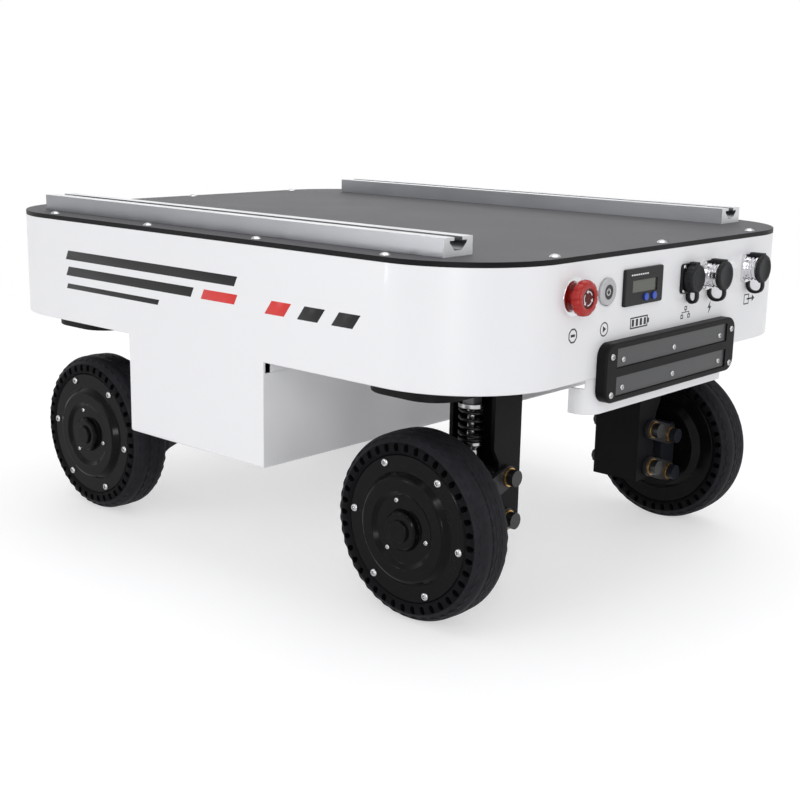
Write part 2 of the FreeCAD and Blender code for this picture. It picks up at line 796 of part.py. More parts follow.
def make_knuckle(corner):
    """U-shaped knuckle: two cheeks on the pivot bolts, and a web that clamps the axle."""
    body = new_body("knuckle")
    low, high = "wheel_radius - pivot_spacing/2 - knuckle_end", "wheel_radius + pivot_spacing/2 + knuckle_end"
    side = [
        (KNUCKLE_INNER, low),
        (f"{KNUCKLE_OUTER} - knuckle_slant", low),
        (KNUCKLE_OUTER, f"{low} + knuckle_slant"),
        (KNUCKLE_OUTER, f"{high} - knuckle_slant"),
        (f"{KNUCKLE_OUTER} - knuckle_slant", high),
        (KNUCKLE_INNER, high),
    ]
    pad(body, outline(new_sketch(body, "YZ"), side), "bracket_width - fit_gap", both_ways=True)
    inner = number(KNUCKLE_INNER)
    round_edges(body, "knuckle_end - 1", lambda e: runs_along(e, V(1, 0, 0)) and abs(middle(e).y - inner) < 0.1)
    gap = rectangle(new_sketch(body, "XY"), "bracket_width - 2*knuckle_cheek",
                    "2*(knuckle_depth - knuckle_web)", "0", KNUCKLE_INNER)
    pocket(body, gap, "4*wheel_radius", both_ways=True)
    bores = new_sketch(body, "YZ")
    for sign in (-1, 1):
        circle(bores, "bolt_radius + running_gap", KNUCKLE_PIVOT, f"wheel_radius + {sign}*pivot_spacing/2")
    pocket(body, bores, "2*bracket_width", both_ways=True)
    clamp = new_sketch(body, "XZ", f"-{KNUCKLE_OUTER}")
    circle(clamp, "axle_radius + running_gap", "0", "wheel_radius")
    pocket(body, clamp, "2*knuckle_web", both_ways=True)
    bolts = []
    for sign in (-1, 1):
        height = f"wheel_radius + {sign}*pivot_spacing/2"
        bolts.append(pivot_bolt(corner, KNUCKLE_PIVOT, height))
    keep_at_corner(group([body] + bolts, "knuckle_group"), "knuckle", corner)


def pivot_bolt(corner, out, height):
    """Pivot bolt along X: its head and washer face the near end of the robot, its nut the belly."""
    along, across = CORNERS[corner]
    side = along * across

    def stretch(start, length):
        return start if side > 0 else f"-({start}) - ({length})"

    tail = f"{BOLT_FACE} + nut_height + bolt_tail"
    reach = f"{tail} + {BOLT_FACE} + washer_thickness"
    shank = rod("bolt_radius", reach, stretch(f"-({tail})", reach), out, height, "x", "pivot_shank")
    washer = rod("washer_radius", "washer_thickness", stretch(BOLT_FACE, "washer_thickness"), out, height, "x",
                 "pivot_washer")
    head = rod("bolt_head_radius", "bolt_head_height",
               stretch(f"{BOLT_FACE} + washer_thickness", "bolt_head_height"), out, height, "x", "pivot_head")
    nut = hexagon("nut_width", "nut_height", stretch(f"-{BOLT_FACE} - nut_height", "nut_height"), out, height, "x",
                  "pivot_nut")
    return join([shank, washer, head, nut], "pivot_bolt")


def make_arm(label, corner, pivot_height):
    """Arm of two link plates, one each side of the bracket, joined by a cross pin halfway."""
    body = new_body(label)
    inside = "bracket_width/2 + arm_play"
    for side in (-1, 1):
        offset = inside if side > 0 else f"-({inside})"
        link = new_sketch(body, "YZ", offset)
        capsule(link, "arm_end_radius", "arm_run", "-arm_drop")
        pad(body, link, "arm_thickness", backwards=side < 0)
        if side < 0:
            pin = new_sketch(body, "YZ")
            circle(pin, "cross_pin_radius", "damper_offset", f"-{PIN_DROP}")
            pad(body, pin, f"2*({inside})", both_ways=True)
    eyes = new_sketch(body, "YZ")
    circle(eyes, "bolt_radius + running_gap", "0", "0")
    circle(eyes, "bolt_radius + running_gap", "arm_run", "-arm_drop")
    pocket(body, eyes, "2*bracket_width", both_ways=True)
    keep_at_corner(body, label, corner, FRAME_PIVOT, pivot_height)


def capsule(sketch, radius, run, rise):
    """Link outline with round ends about the origin and about a second point."""
    size = number(radius)
    far = V(number(run), number(rise), 0)
    slope = math.atan2(far.y, far.x)
    near_arc = Part.ArcOfCircle(Part.Circle(V(), V(0, 0, 1), size), slope + math.pi / 2, slope + 3 * math.pi / 2)
    far_arc = Part.ArcOfCircle(Part.Circle(far, V(0, 0, 1), size), slope - math.pi / 2, slope + math.pi / 2)
    sketch.addGeometry(near_arc, False)
    sketch.addGeometry(Part.LineSegment(near_arc.EndPoint, far_arc.StartPoint), False)
    sketch.addGeometry(far_arc, False)
    sketch.addGeometry(Part.LineSegment(far_arc.EndPoint, near_arc.StartPoint), False)
    for step in range(4):
        sketch.addConstraint(Sketcher.Constraint("Tangent", step, 2, (step + 1) % 4, 1))
    sketch.addConstraint(Sketcher.Constraint("Coincident", 0, 3, -1, 1))
    sketch.addConstraint(Sketcher.Constraint("Equal", 0, 2))
    bound = sketch.addConstraint(Sketcher.Constraint("Radius", 0, size))
    sketch.setExpression(f"Constraints[{bound}]", formula(radius))
    measure(sketch, "DistanceX", 2, 3, run)
    measure(sketch, "DistanceY", 2, 3, rise)
    return sketch


def make_bracket(corner):
    """Channel that hangs under the base plate, its open side facing the wheel."""
    body = new_body("bracket")
    back = f"{FRAME_PIVOT} - bracket_back"
    low = f"{LOWER_PIVOT} - bracket_end"
    edge = f"{FRAME_PIVOT} + flange_depth"
    waist = f"{FRAME_PIVOT} + waist_depth"
    waist_top = f"{UPPER_PIVOT} + waist_height"
    side = [
        (back, low),
        (waist, low),
        (waist, f"{waist_top} - waist_slope"),
        (edge, waist_top),
        (edge, UNDER_PLATE),
        (back, UNDER_PLATE),
    ]
    pad(body, outline(new_sketch(body, "YZ"), side), "bracket_width", both_ways=True)
    round_edges(body, "bracket_round", lambda e: runs_along(e, V(1, 0, 0))
                and abs(middle(e).y - number(waist)) < 0.1 and abs(middle(e).z - number(low)) < 0.1)
    room = rectangle(new_sketch(body, "XY"), "bracket_width - 2*bracket_wall",
                     "2*(flange_depth + bracket_back)", "0", f"{edge} + bracket_wall")
    pocket(body, room, "2*body_bottom", both_ways=True)
    foot = rectangle(new_sketch(body, "XY", UNDER_FOOT), "bracket_width", "foot_front + foot_back", "0",
                     f"{FRAME_PIVOT} + (foot_front - foot_back)/2")
    pad(body, foot, "bracket_wall")
    holes = new_sketch(body, "XY", UNDER_FOOT)
    for x, y in foot_bolt_places():
        circle(holes, "foot_bolt_radius + fit_gap", x, y)
    pocket(body, holes, "bracket_wall", forwards=True)
    pivots = new_sketch(body, "YZ")
    for height in (UPPER_PIVOT, LOWER_PIVOT):
        circle(pivots, "bolt_radius + running_gap", FRAME_PIVOT, height)
    pocket(body, pivots, "2*bracket_width", both_ways=True)
    keep_at_corner(body, "bracket", corner)


def at_each_corner(make_set, name):
    """One group of what a function makes at every corner."""
    sets = []
    for corner, (along, across) in CORNERS.items():
        placed = make_set(corner)
        turn = UPRIGHT if across > 0 else HALF_TURN
        place(placed, f"{along}*wheelbase/2", "0", "0", turn)
        sets.append(placed)
    return group(sets, name)


def make_suspension_bolts():
    """Frame pivot bolts and foot bolts of all four brackets."""
    def corner_bolts(corner):
        bolts = [pivot_bolt(corner, FRAME_PIVOT, height) for height in (UPPER_PIVOT, LOWER_PIVOT)]
        for x, y in foot_bolt_places():
            head_bottom = f"{UNDER_FOOT} - foot_head_height"
            head = hexagon("foot_head_width", "foot_head_height", x, y, head_bottom, name="foot_head")
            shank = rod("foot_bolt_radius", "foot_head_height + bracket_wall + plate_thickness", x, y, head_bottom,
                        name="foot_shank")
            bolts.append(join([head, shank], "foot_bolt"))
        return group(bolts, f"bolts_{corner}")

    keep(at_each_corner(corner_bolts, "suspension_bolts"), "suspension_bolts")


def make_damper_tops():
    """Fixed half of each damper: mounting block under the foot, spring seat and rod."""
    def damper_top(corner):
        mount = block("damper_block", "damper_block", "damper_block_drop", "0", DAMPER_OUT, BLOCK_BOTTOM,
                      "damper_mount")
        seat = rod("damper_seat_radius", "damper_seat_height", "0", DAMPER_OUT,
                   f"{BLOCK_BOTTOM} - damper_seat_height", name="spring_seat")
        shaft = rod("damper_rod_radius", "damper_rod_length", "0", DAMPER_OUT,
                    f"{BLOCK_BOTTOM} - damper_rod_length", name="damper_shaft")
        return join([mount, seat, shaft], f"damper_top_{corner}")

    keep(at_each_corner(damper_top, "damper_tops"), "damper_tops")


def make_damper_body(corner):
    """Moving half of a damper: bored body with the lower spring seat, and an eye round the arm's pin."""
    body = new_body("damper_body")
    seat_low = "damper_collar_rise - damper_seat_height"
    bore = "damper_rod_radius + running_gap"
    profile = [
        ("0", "damper_body_base"),
        ("damper_body_radius", "damper_body_base"),
        ("damper_body_radius", f"{seat_low} - 4"),
        ("damper_seat_radius - 1", seat_low),
        ("damper_seat_radius", f"{seat_low} + 1"),
        ("damper_seat_radius", "damper_collar_rise"),
        ("damper_body_radius - 1", "damper_collar_rise"),
        ("damper_body_radius - 1", "damper_collar_rise + damper_lip"),
        (bore, "damper_collar_rise + damper_lip"),
        (bore, "damper_bore_base"),
        ("0", "damper_bore_base"),
    ]
    revolve(body, outline(new_sketch(body, "XZ"), profile), "V_Axis")
    pad(body, circle(new_sketch(body, "YZ"), "damper_eye_radius + damper_eye_play"), "damper_eye_width",
        both_ways=True)
    pocket(body, circle(new_sketch(body, "YZ"), "cross_pin_radius + damper_eye_play"), "4*damper_body_radius",
           both_ways=True)
    keep_at_corner(body, "damper_body", corner, DAMPER_OUT, EYE_HEIGHT)


def make_spring(corner):
    """Coil spring between the two seats."""
    wire = number("spring_wire/2")
    radius = number("damper_seat_radius - 0.25") - wire
    low = f"{EYE_HEIGHT} + damper_collar_rise + fit_gap + spring_wire/2"
    high = f"{BLOCK_BOTTOM} - damper_seat_height - fit_gap - spring_wire/2"
    rise = number(f"{high} - ({low})")
    helix = Part.makeHelix(rise / number("spring_turns"), rise, radius)
    section = Part.Wire(Part.makeCircle(wire, V(radius, 0, 0), V(0, 1, 0)))
    spring = doc.addObject("Part::Feature", "spring")
    spring.Shape = Part.Wire(helix).makePipeShell([section], True, True)
    keep_at_corner(spring, "spring", corner, DAMPER_OUT, low)


# ---------------------------------------------------------------- controls end

def make_stop_collar():
    """Collar and threaded barrel of the emergency stop."""
    collar = rod("stop_collar_radius", "stop_collar_height", along="x", name="collar")
    barrel = rod("stop_barrel_radius", "stop_barrel_length", "-stop_barrel_length", along="x", name="barrel")
    bore = rod("stop_stem_radius + running_gap", "stop_collar_height + stop_barrel_length + 2",
               "-stop_barrel_length - 1", along="x", name="collar_bore")
    rounded = doc.addObject("Part::Chamfer", "collar_edge")
    rounded.Base = collar
    doc.recompute()
    rounded.Edges = [(i, 1, 1) for i, e in enumerate(collar.Shape.Edges, 1)
                     if e.Curve.TypeId == "Part::GeomCircle" and middle(e).x > 1]
    keep_at_front(cut(join([rounded, barrel], "collar_solid"), [bore], "estop_collar"), "estop_collar",
                  "stop_across", "stop_height")


def make_stop_head():
    """Mushroom head on its stem."""
    body = new_body("estop_head")
    back = "stop_reach - stop_head_height"
    profile = [
        ("-stop_barrel_length", "0"),
        ("-stop_barrel_length", "stop_stem_radius"),
        (back, "stop_stem_radius"),
        (back, "stop_head_radius - 3"),
        (f"{back} + 3", "stop_head_radius"),
        ("stop_reach - 3", "stop_head_radius"),
        ("stop_reach - 1", "stop_head_radius - 2"),
        ("stop_reach - 1", "stop_head_radius - 6"),
        ("stop_reach", "stop_head_radius - 7"),
        ("stop_reach", "0"),
    ]
    revolve(body, outline(new_sketch(body, "XY"), profile))
    keep_at_front(body, "estop_head", "stop_across", "stop_height")


def make_start_button():
    """Bezel with its barrel, and the plunger in it."""
    ring = rod("start_bezel_radius", "start_bezel_height", along="x", name="bezel_ring")
    barrel = rod("start_barrel_radius", "start_barrel_length", "-start_barrel_length", along="x", name="barrel")
    bore = rod("start_plunger_radius + running_gap", "start_barrel_length + start_bezel_height + 2",
               "-start_barrel_length - 1", along="x", name="bezel_bore")
    rounded = doc.addObject("Part::Chamfer", "bezel_edge")
    rounded.Base = ring
    doc.recompute()
    rounded.Edges = [(i, 1, 1) for i, e in enumerate(ring.Shape.Edges, 1)
                     if e.Curve.TypeId == "Part::GeomCircle" and middle(e).x > 1]
    keep_at_front(cut(join([rounded, barrel], "bezel_solid"), [bore], "start_bezel"), "start_bezel",
                  "start_across", "start_height")
    plunger = rod("start_plunger_radius", "start_barrel_length + start_bezel_height - 4.4",
                  "-start_barrel_length + 4", along="x", name="plunger")
    keep_at_front(group([plunger], "start_plunger"), "start_plunger", "start_across", "start_height")


def make_meter():
    """Battery meter: bezel with a sunk window, a body through the cut-out, and two keys."""
    body = new_body("meter_case")
    bezel = rounded_rectangle(new_sketch(body, "YZ"), "meter_width", "meter_tall", "2")
    pad(body, bezel, "meter_bezel")
    front = number("meter_bezel")
    round_edges(body, "1", lambda e: abs(middle(e).x - front) < 0.01)
    back = rectangle(new_sketch(body, "YZ"), "meter_body_width", "meter_body_tall")
    pad(body, back, "meter_body_depth", backwards=True)
    window = rectangle(new_sketch(body, "YZ", "meter_bezel"), "window_width", "window_tall", "window_shift", "0.25")
    pocket(body, window, "window_depth")
    keys = new_sketch(body, "YZ", "meter_bezel")
    for across in ("key_left", "key_right"):
        circle(keys, "key_radius + running_gap", across, "-key_drop")
    pocket(body, keys, "key_depth + 2")
    keep_at_front(body, "meter_case", "meter_across", "meter_height")
    for label, across in (("meter_key_left", "key_left"), ("meter_key_right", "key_right")):
        key = rod("key_radius", "key_depth + key_proud", "meter_bezel - key_depth", along="x", name="key")
        keep_at_front(group([key], label), label, f"meter_across + {across}", "meter_height - key_drop")


SOCKETS = {"data": "data_across", "charge": "charge_across", "discharge": "discharge_across"}


def make_sockets():
    """Three flanged sockets, each with a recessed insert that carries its contacts."""
    placed = []
    for name, across in SOCKETS.items():
        flange = block("socket_flange_thickness", "socket_flange", "socket_flange", "socket_flange_thickness/2",
                       "0", "-socket_flange/2", "flange")
        rounded = doc.addObject("Part::Fillet", "flange_round")
        rounded.Base = flange
        doc.recompute()
        rounded.Edges = [(i, 4, 4) for i, e in enumerate(flange.Shape.Edges, 1) if runs_along(e, V(1, 0, 0))]
        neck = rod("socket_neck_radius", "socket_neck_reach", along="x", name="neck")
        barrel = rod("socket_barrel_radius", "socket_barrel_reach + socket_rear_length", "-socket_rear_length",
                     along="x", name="barrel")
        recess = rod("socket_recess_radius", "socket_recess_depth", "socket_barrel_reach - socket_recess_depth",
                     along="x", name="recess")
        shell = cut(join([rounded, neck, barrel], "socket_solid"), [recess], "socket_shell")
        pins = []
        for step in range(5):
            angle = math.radians(72 * step)
            pins.append(rod("contact_radius", "socket_recess_depth - 1", "socket_barrel_reach - socket_recess_depth - 1",
                            f"contact_circle*{math.cos(angle):.6f}", f"contact_circle*{math.sin(angle):.6f}",
                            "x", "contact"))
        socket = join([shell] + pins, f"{name}_socket")
        place(socket, "0", across, "socket_height")
        placed.append(socket)
    keep_at_front(group(placed, "panel_sockets"), "panel_sockets")


def make_cap(name, across, reach):
    """Socket cap: a cup with grip grooves round it and a latch on top."""
    body = new_body(f"{name}_cap")
    start = "socket_neck_reach + fit_gap"
    bore = "socket_barrel_radius + running_gap"
    profile = [
        (start, bore),
        (start, "cap_radius - 0.8"),
        (f"{start} + 0.8", "cap_radius"),
        (f"{reach} - 2", "cap_radius"),
        (reach, "cap_radius - 2"),
        (reach, "0"),
        (f"{reach} - cap_floor + 0.6", "0"),
        (f"{reach} - cap_floor + 0.6", bore),
    ]
    revolve(body, outline(new_sketch(body, "XY"), profile))
    latch = rectangle(new_sketch(body, "XY"), "latch_length", "latch_width",
                      f"{start} + latch_length/2", "0")
    pad(body, latch, "cap_radius + latch_height")
    hollow = circle(new_sketch(body, "YZ", start), bore)
    pocket(body, hollow, f"{reach} - cap_floor - ({start})", forwards=True)
    groove = circle(new_sketch(body, "YZ", f"{reach} - grip_length"), "grip_groove_radius", "0", "-cap_radius")
    cut_groove = pocket(body, groove, "cap_reach", forwards=True)
    repeat_round(body, cut_groove, "X", "grip_grooves")
    keep_at_front(body, f"{name}_cap", across, "socket_height")


def make_charge_panel():
    """Frame of the charging contacts, and the two contact strips sunk in it."""
    body = new_body("charge_frame")
    frame = rounded_rectangle(new_sketch(body, "YZ"), "charge_width", "charge_tall", "charge_corner")
    pad(body, frame, "charge_depth")
    front = number("charge_depth")
    round_edges(body, "2", lambda e: abs(middle(e).x - front) < 0.01)
    for sign in (-1, 1):
        seat = rectangle(new_sketch(body, "YZ", "charge_depth"), "strip_width + 2*fit_gap",
                         "strip_tall + 2*fit_gap", "0", f"{sign}*strip_offset")
        pocket(body, seat, "strip_thickness + strip_recess")
    keep_at_front(body, "charge_frame", "0", "charge_middle")
    strips = []
    for sign in (-1, 1):
        strips.append(block("strip_thickness", "strip_width", "strip_tall",
                            "charge_depth - strip_recess - strip_thickness/2", "0",
                            f"{sign}*strip_offset - strip_tall/2", "strip"))
    keep_at_front(group(strips, "charge_contacts"), "charge_contacts", "0", "charge_middle")


# ---------------------------------------------------------------- the robot

make_body_shell()
make_deck_plate()
make_deck_screws()
make_rail("rail_left", 1)
make_rail("rail_right", -1)
make_base_plate()
make_battery_pack()
make_control_box()
make_suspension_bolts()
make_damper_tops()
for corner in CORNERS:
    make_bracket(corner)
    make_arm("upper_arm", corner, UPPER_PIVOT)
    make_arm("lower_arm", corner, LOWER_PIVOT)
    make_knuckle(corner)
    make_axle(corner)
    make_damper_body(corner)
    make_spring(corner)
    make_hub_motor(corner)
    make_tyre(corner)
make_stop_collar()
make_stop_head()
make_start_button()
make_meter()
make_sockets()
make_cap("data", "data_across", "data_cap_reach")
make_cap("charge", "charge_across", "cap_reach")
make_cap("discharge", "discharge_across", "cap_reach")
make_charge_panel()
doc.recompute()

for item in doc.Objects:
    if "Invalid" in item.State or "Error" in item.State:
        raise RuntimeError(f"{item.Label} did not build: {item.State}")
for node in nodes:
    if node.Shape.isNull() or not node.Shape.isValid() or not node.Shape.Solids:
        raise RuntimeError(f"{node.Label} has no valid shape")

os.makedirs("parts", exist_ok=True)
for node in nodes:
    node.Shape.exportStep(f"parts/{node.Label}.step")
print(len(nodes), "sub-parts written")
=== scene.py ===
"""Looks of the mobile robot chassis: finishes, markings, fasteners, springs, tread, controls,
sockets and floor.

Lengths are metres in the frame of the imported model: +X towards the controls, +Y to the robot's
left and +Z up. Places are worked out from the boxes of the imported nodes.
"""
import functools
import json
import math

import bmesh
import bpy
from mathutils import Matrix, Vector


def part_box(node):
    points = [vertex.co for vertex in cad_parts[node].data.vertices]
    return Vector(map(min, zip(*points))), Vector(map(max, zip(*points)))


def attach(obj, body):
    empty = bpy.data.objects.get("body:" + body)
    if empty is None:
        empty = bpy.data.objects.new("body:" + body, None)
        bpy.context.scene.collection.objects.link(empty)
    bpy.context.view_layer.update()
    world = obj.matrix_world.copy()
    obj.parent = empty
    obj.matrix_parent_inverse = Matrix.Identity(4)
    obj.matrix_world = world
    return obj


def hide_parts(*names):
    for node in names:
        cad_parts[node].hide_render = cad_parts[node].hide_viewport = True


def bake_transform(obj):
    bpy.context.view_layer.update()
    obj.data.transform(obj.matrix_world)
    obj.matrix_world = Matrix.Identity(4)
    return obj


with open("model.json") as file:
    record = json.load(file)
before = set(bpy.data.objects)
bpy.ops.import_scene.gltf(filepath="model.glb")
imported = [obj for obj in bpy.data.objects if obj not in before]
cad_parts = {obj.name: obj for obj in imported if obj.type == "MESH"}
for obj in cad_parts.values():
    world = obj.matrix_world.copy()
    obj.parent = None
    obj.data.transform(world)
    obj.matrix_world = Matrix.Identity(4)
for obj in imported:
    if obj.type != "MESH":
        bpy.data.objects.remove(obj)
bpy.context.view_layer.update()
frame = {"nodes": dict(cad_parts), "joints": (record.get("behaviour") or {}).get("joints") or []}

NODES = frame["nodes"]
MM = 0.001
TURN = 2 * math.pi
CORNERS = [f"{end}_{side}" for end in ("front", "rear") for side in ("left", "right")]
FILM = 0.06 * MM  # how far a printed or stuck-on marking stands proud


# ---------------------------------------------------------------- places

def mm(*lengths):
    """These lengths, given in millimetres."""
    return tuple(length * MM for length in lengths)


@functools.lru_cache(maxsize=None)
def box(node):
    """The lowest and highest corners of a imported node."""
    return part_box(node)


@functools.lru_cache(maxsize=None)
def middle(node):
    """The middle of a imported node's box."""
    low, high = box(node)
    return (low + high) / 2


def outward(corner):
    """+1 for a wheel on the left side and -1 for one on the right."""
    return 1 if corner.endswith("left") else -1


class Face:
    """A flat place on the model: its origin, two directions in it and the direction out of it."""

    def __init__(self, origin, across, up):
        self.origin, self.across, self.up = Vector(origin), Vector(across), Vector(up)
        self.out = self.across.cross(self.up)

    def at(self, across, up, out=0.0):
        return self.origin + self.across * across + self.up * up + self.out * out


def front_face(x, y=0.0, z=0.0):
    """A face that looks to the front, with y across and z up."""
    return Face((x, y, z), (0, 1, 0), (0, 0, 1))


SHELL_LOW, SHELL_HIGH = box("body_shell")
FRONT_X = SHELL_HIGH.x
SIDES = {  # each side of the shell, with the way that its first direction goes along X
    "right": (Face((0, SHELL_LOW.y, 0), (1, 0, 0), (0, 0, 1)), 1),
    "left": (Face((0, SHELL_HIGH.y, 0), (-1, 0, 0), (0, 0, 1)), -1)}

ALONG = 0.9  # a face looks along an axis when that part of its normal is more than this
WASHER_FROM = 30.2 * MM  # along X, from an axle to the inner face of a pivot's washer
WASHER_THICK = 1.6 * MM
LINK_TOP = 125 * MM  # everything of the pivots is below this height
SEAT_DEPTH = 19.5 * MM  # from the top of the dampers to the underside of their cast seats
WINDOW_DEPTH = 0.9 * MM  # the meter's display is sunk at least this far
CROWN_FROM = 75 * MM  # the tread is farther than this from the wheel's middle
SOCKET_HEIGHT = 284.3 * MM
ICON_HEIGHT = 253.25 * MM
STOP_TRAVEL = next(j["range_m"][1] for j in frame["joints"] if j["name"] == "estop_push")
STOP_FACE = 12.9 * MM  # from the front of the shell to the disc sunk in the stop button
STOP_DISC = 8.0 * MM  # the disc's radius
STOP_BACK = STOP_TRAVEL + 1.1 * MM  # from the front of the shell to the back of the button's head
CAPS = {  # where a cap starts and ends in front of the shell, its radius and its latch's start
    "data_cap": mm(2.8, 11.4, 12.8, 3.0),
    "charge_cap": mm(14.0, 18.0, 13.6, 3.0),
    "discharge_cap": mm(14.0, 18.0, 13.6, 3.0)}


# ---------------------------------------------------------------- materials

def add(tree, kind, inputs=None, **settings):
    """A shader node, with its settings made and its sockets set or linked."""
    made = tree.nodes.new("ShaderNode" + kind)
    for name, value in settings.items():
        setattr(made, name, value)
    for socket, value in (inputs or {}).items():
        if isinstance(value, bpy.types.NodeSocket):
            tree.links.new(value, made.inputs[socket])
        else:
            made.inputs[socket].default_value = value
    return made


def blank_material(name):
    """A material with only its output, and its node tree."""
    material = bpy.data.materials.new(name)
    material.use_nodes = True
    tree = material.node_tree
    tree.nodes.clear()
    return material, tree, tree.nodes.new("ShaderNodeOutputMaterial")


def cloud(tree, size, stretch=(1, 1, 1), detail=3.0):
    """Noise with lumps of this size, drawn out along each axis by stretch."""
    place = add(tree, "TexCoord").outputs["Object"]
    scaled = add(tree, "Mapping", {"Vector": place, "Scale": [1 / (size * s) for s in stretch]})
    noise = add(tree, "TexNoise", {"Vector": scaled.outputs["Vector"], "Scale": 1.0,
                                   "Detail": detail})
    return noise.outputs["Fac"]


def ramp(tree, value, stops):
    """A colour for each value, from (place, colour) stops."""
    made = add(tree, "ValToRGB", {"Fac": value})
    elements = made.color_ramp.elements
    while len(elements) < len(stops):
        elements.new(1.0)
    for element, (place, colour) in zip(elements, stops):
        element.position = place
        element.color = (*colour, 1.0)
    return made.outputs["Color"]


def shade(colour, factor):
    """The colour made darker or lighter."""
    return [min(1.0, part * factor) for part in colour]


def finish(name, colour, roughness, metallic=0.0, mottle=0.06, patch=40 * MM, spread=0.06,
           grain=0.8 * MM, depth=0.02 * MM, stretch=(1, 1, 1), edge=0.5 * MM, coat=0.0,
           specular=0.5):
    """A material whose colour and roughness drift in patches and whose surface has a fine grain.

    mottle is the share by which the colour drifts, spread how far the roughness does, patch and
    grain the sizes of the two kinds of lump, and stretch draws the grain out along each axis.
    depth is the height of the grain, and edge the radius over which sharp edges catch the light.
    """
    material, tree, output = blank_material(name)
    drift = cloud(tree, patch)
    fine = cloud(tree, grain, stretch, detail=2.0)
    both = add(tree, "Math", {0: drift, 1: fine}, operation="ADD").outputs[0]
    tone = add(tree, "Math", {0: both, 1: 0.5}, operation="MULTIPLY").outputs[0]
    base = ramp(tree, tone, [(0.3, shade(colour, 1 - mottle)), (0.7, shade(colour, 1 + mottle))])
    rough = add(tree, "MapRange", {"Value": tone, "From Min": 0.3, "From Max": 0.7,
                                   "To Min": roughness - spread, "To Max": roughness + spread})
    rounded = add(tree, "Bevel", {"Radius": edge}, samples=4)
    bump = add(tree, "Bump", {"Height": fine, "Distance": depth, "Strength": 1.0,
                              "Normal": rounded.outputs["Normal"]})
    shader = add(tree, "BsdfPrincipled", {
        "Base Color": base, "Roughness": rough.outputs["Result"], "Metallic": metallic,
        "Normal": bump.outputs["Normal"], "Coat Weight": coat, "Specular IOR Level": specular})
    tree.links.new(shader.outputs["BSDF"], output.inputs["Surface"])
    return material


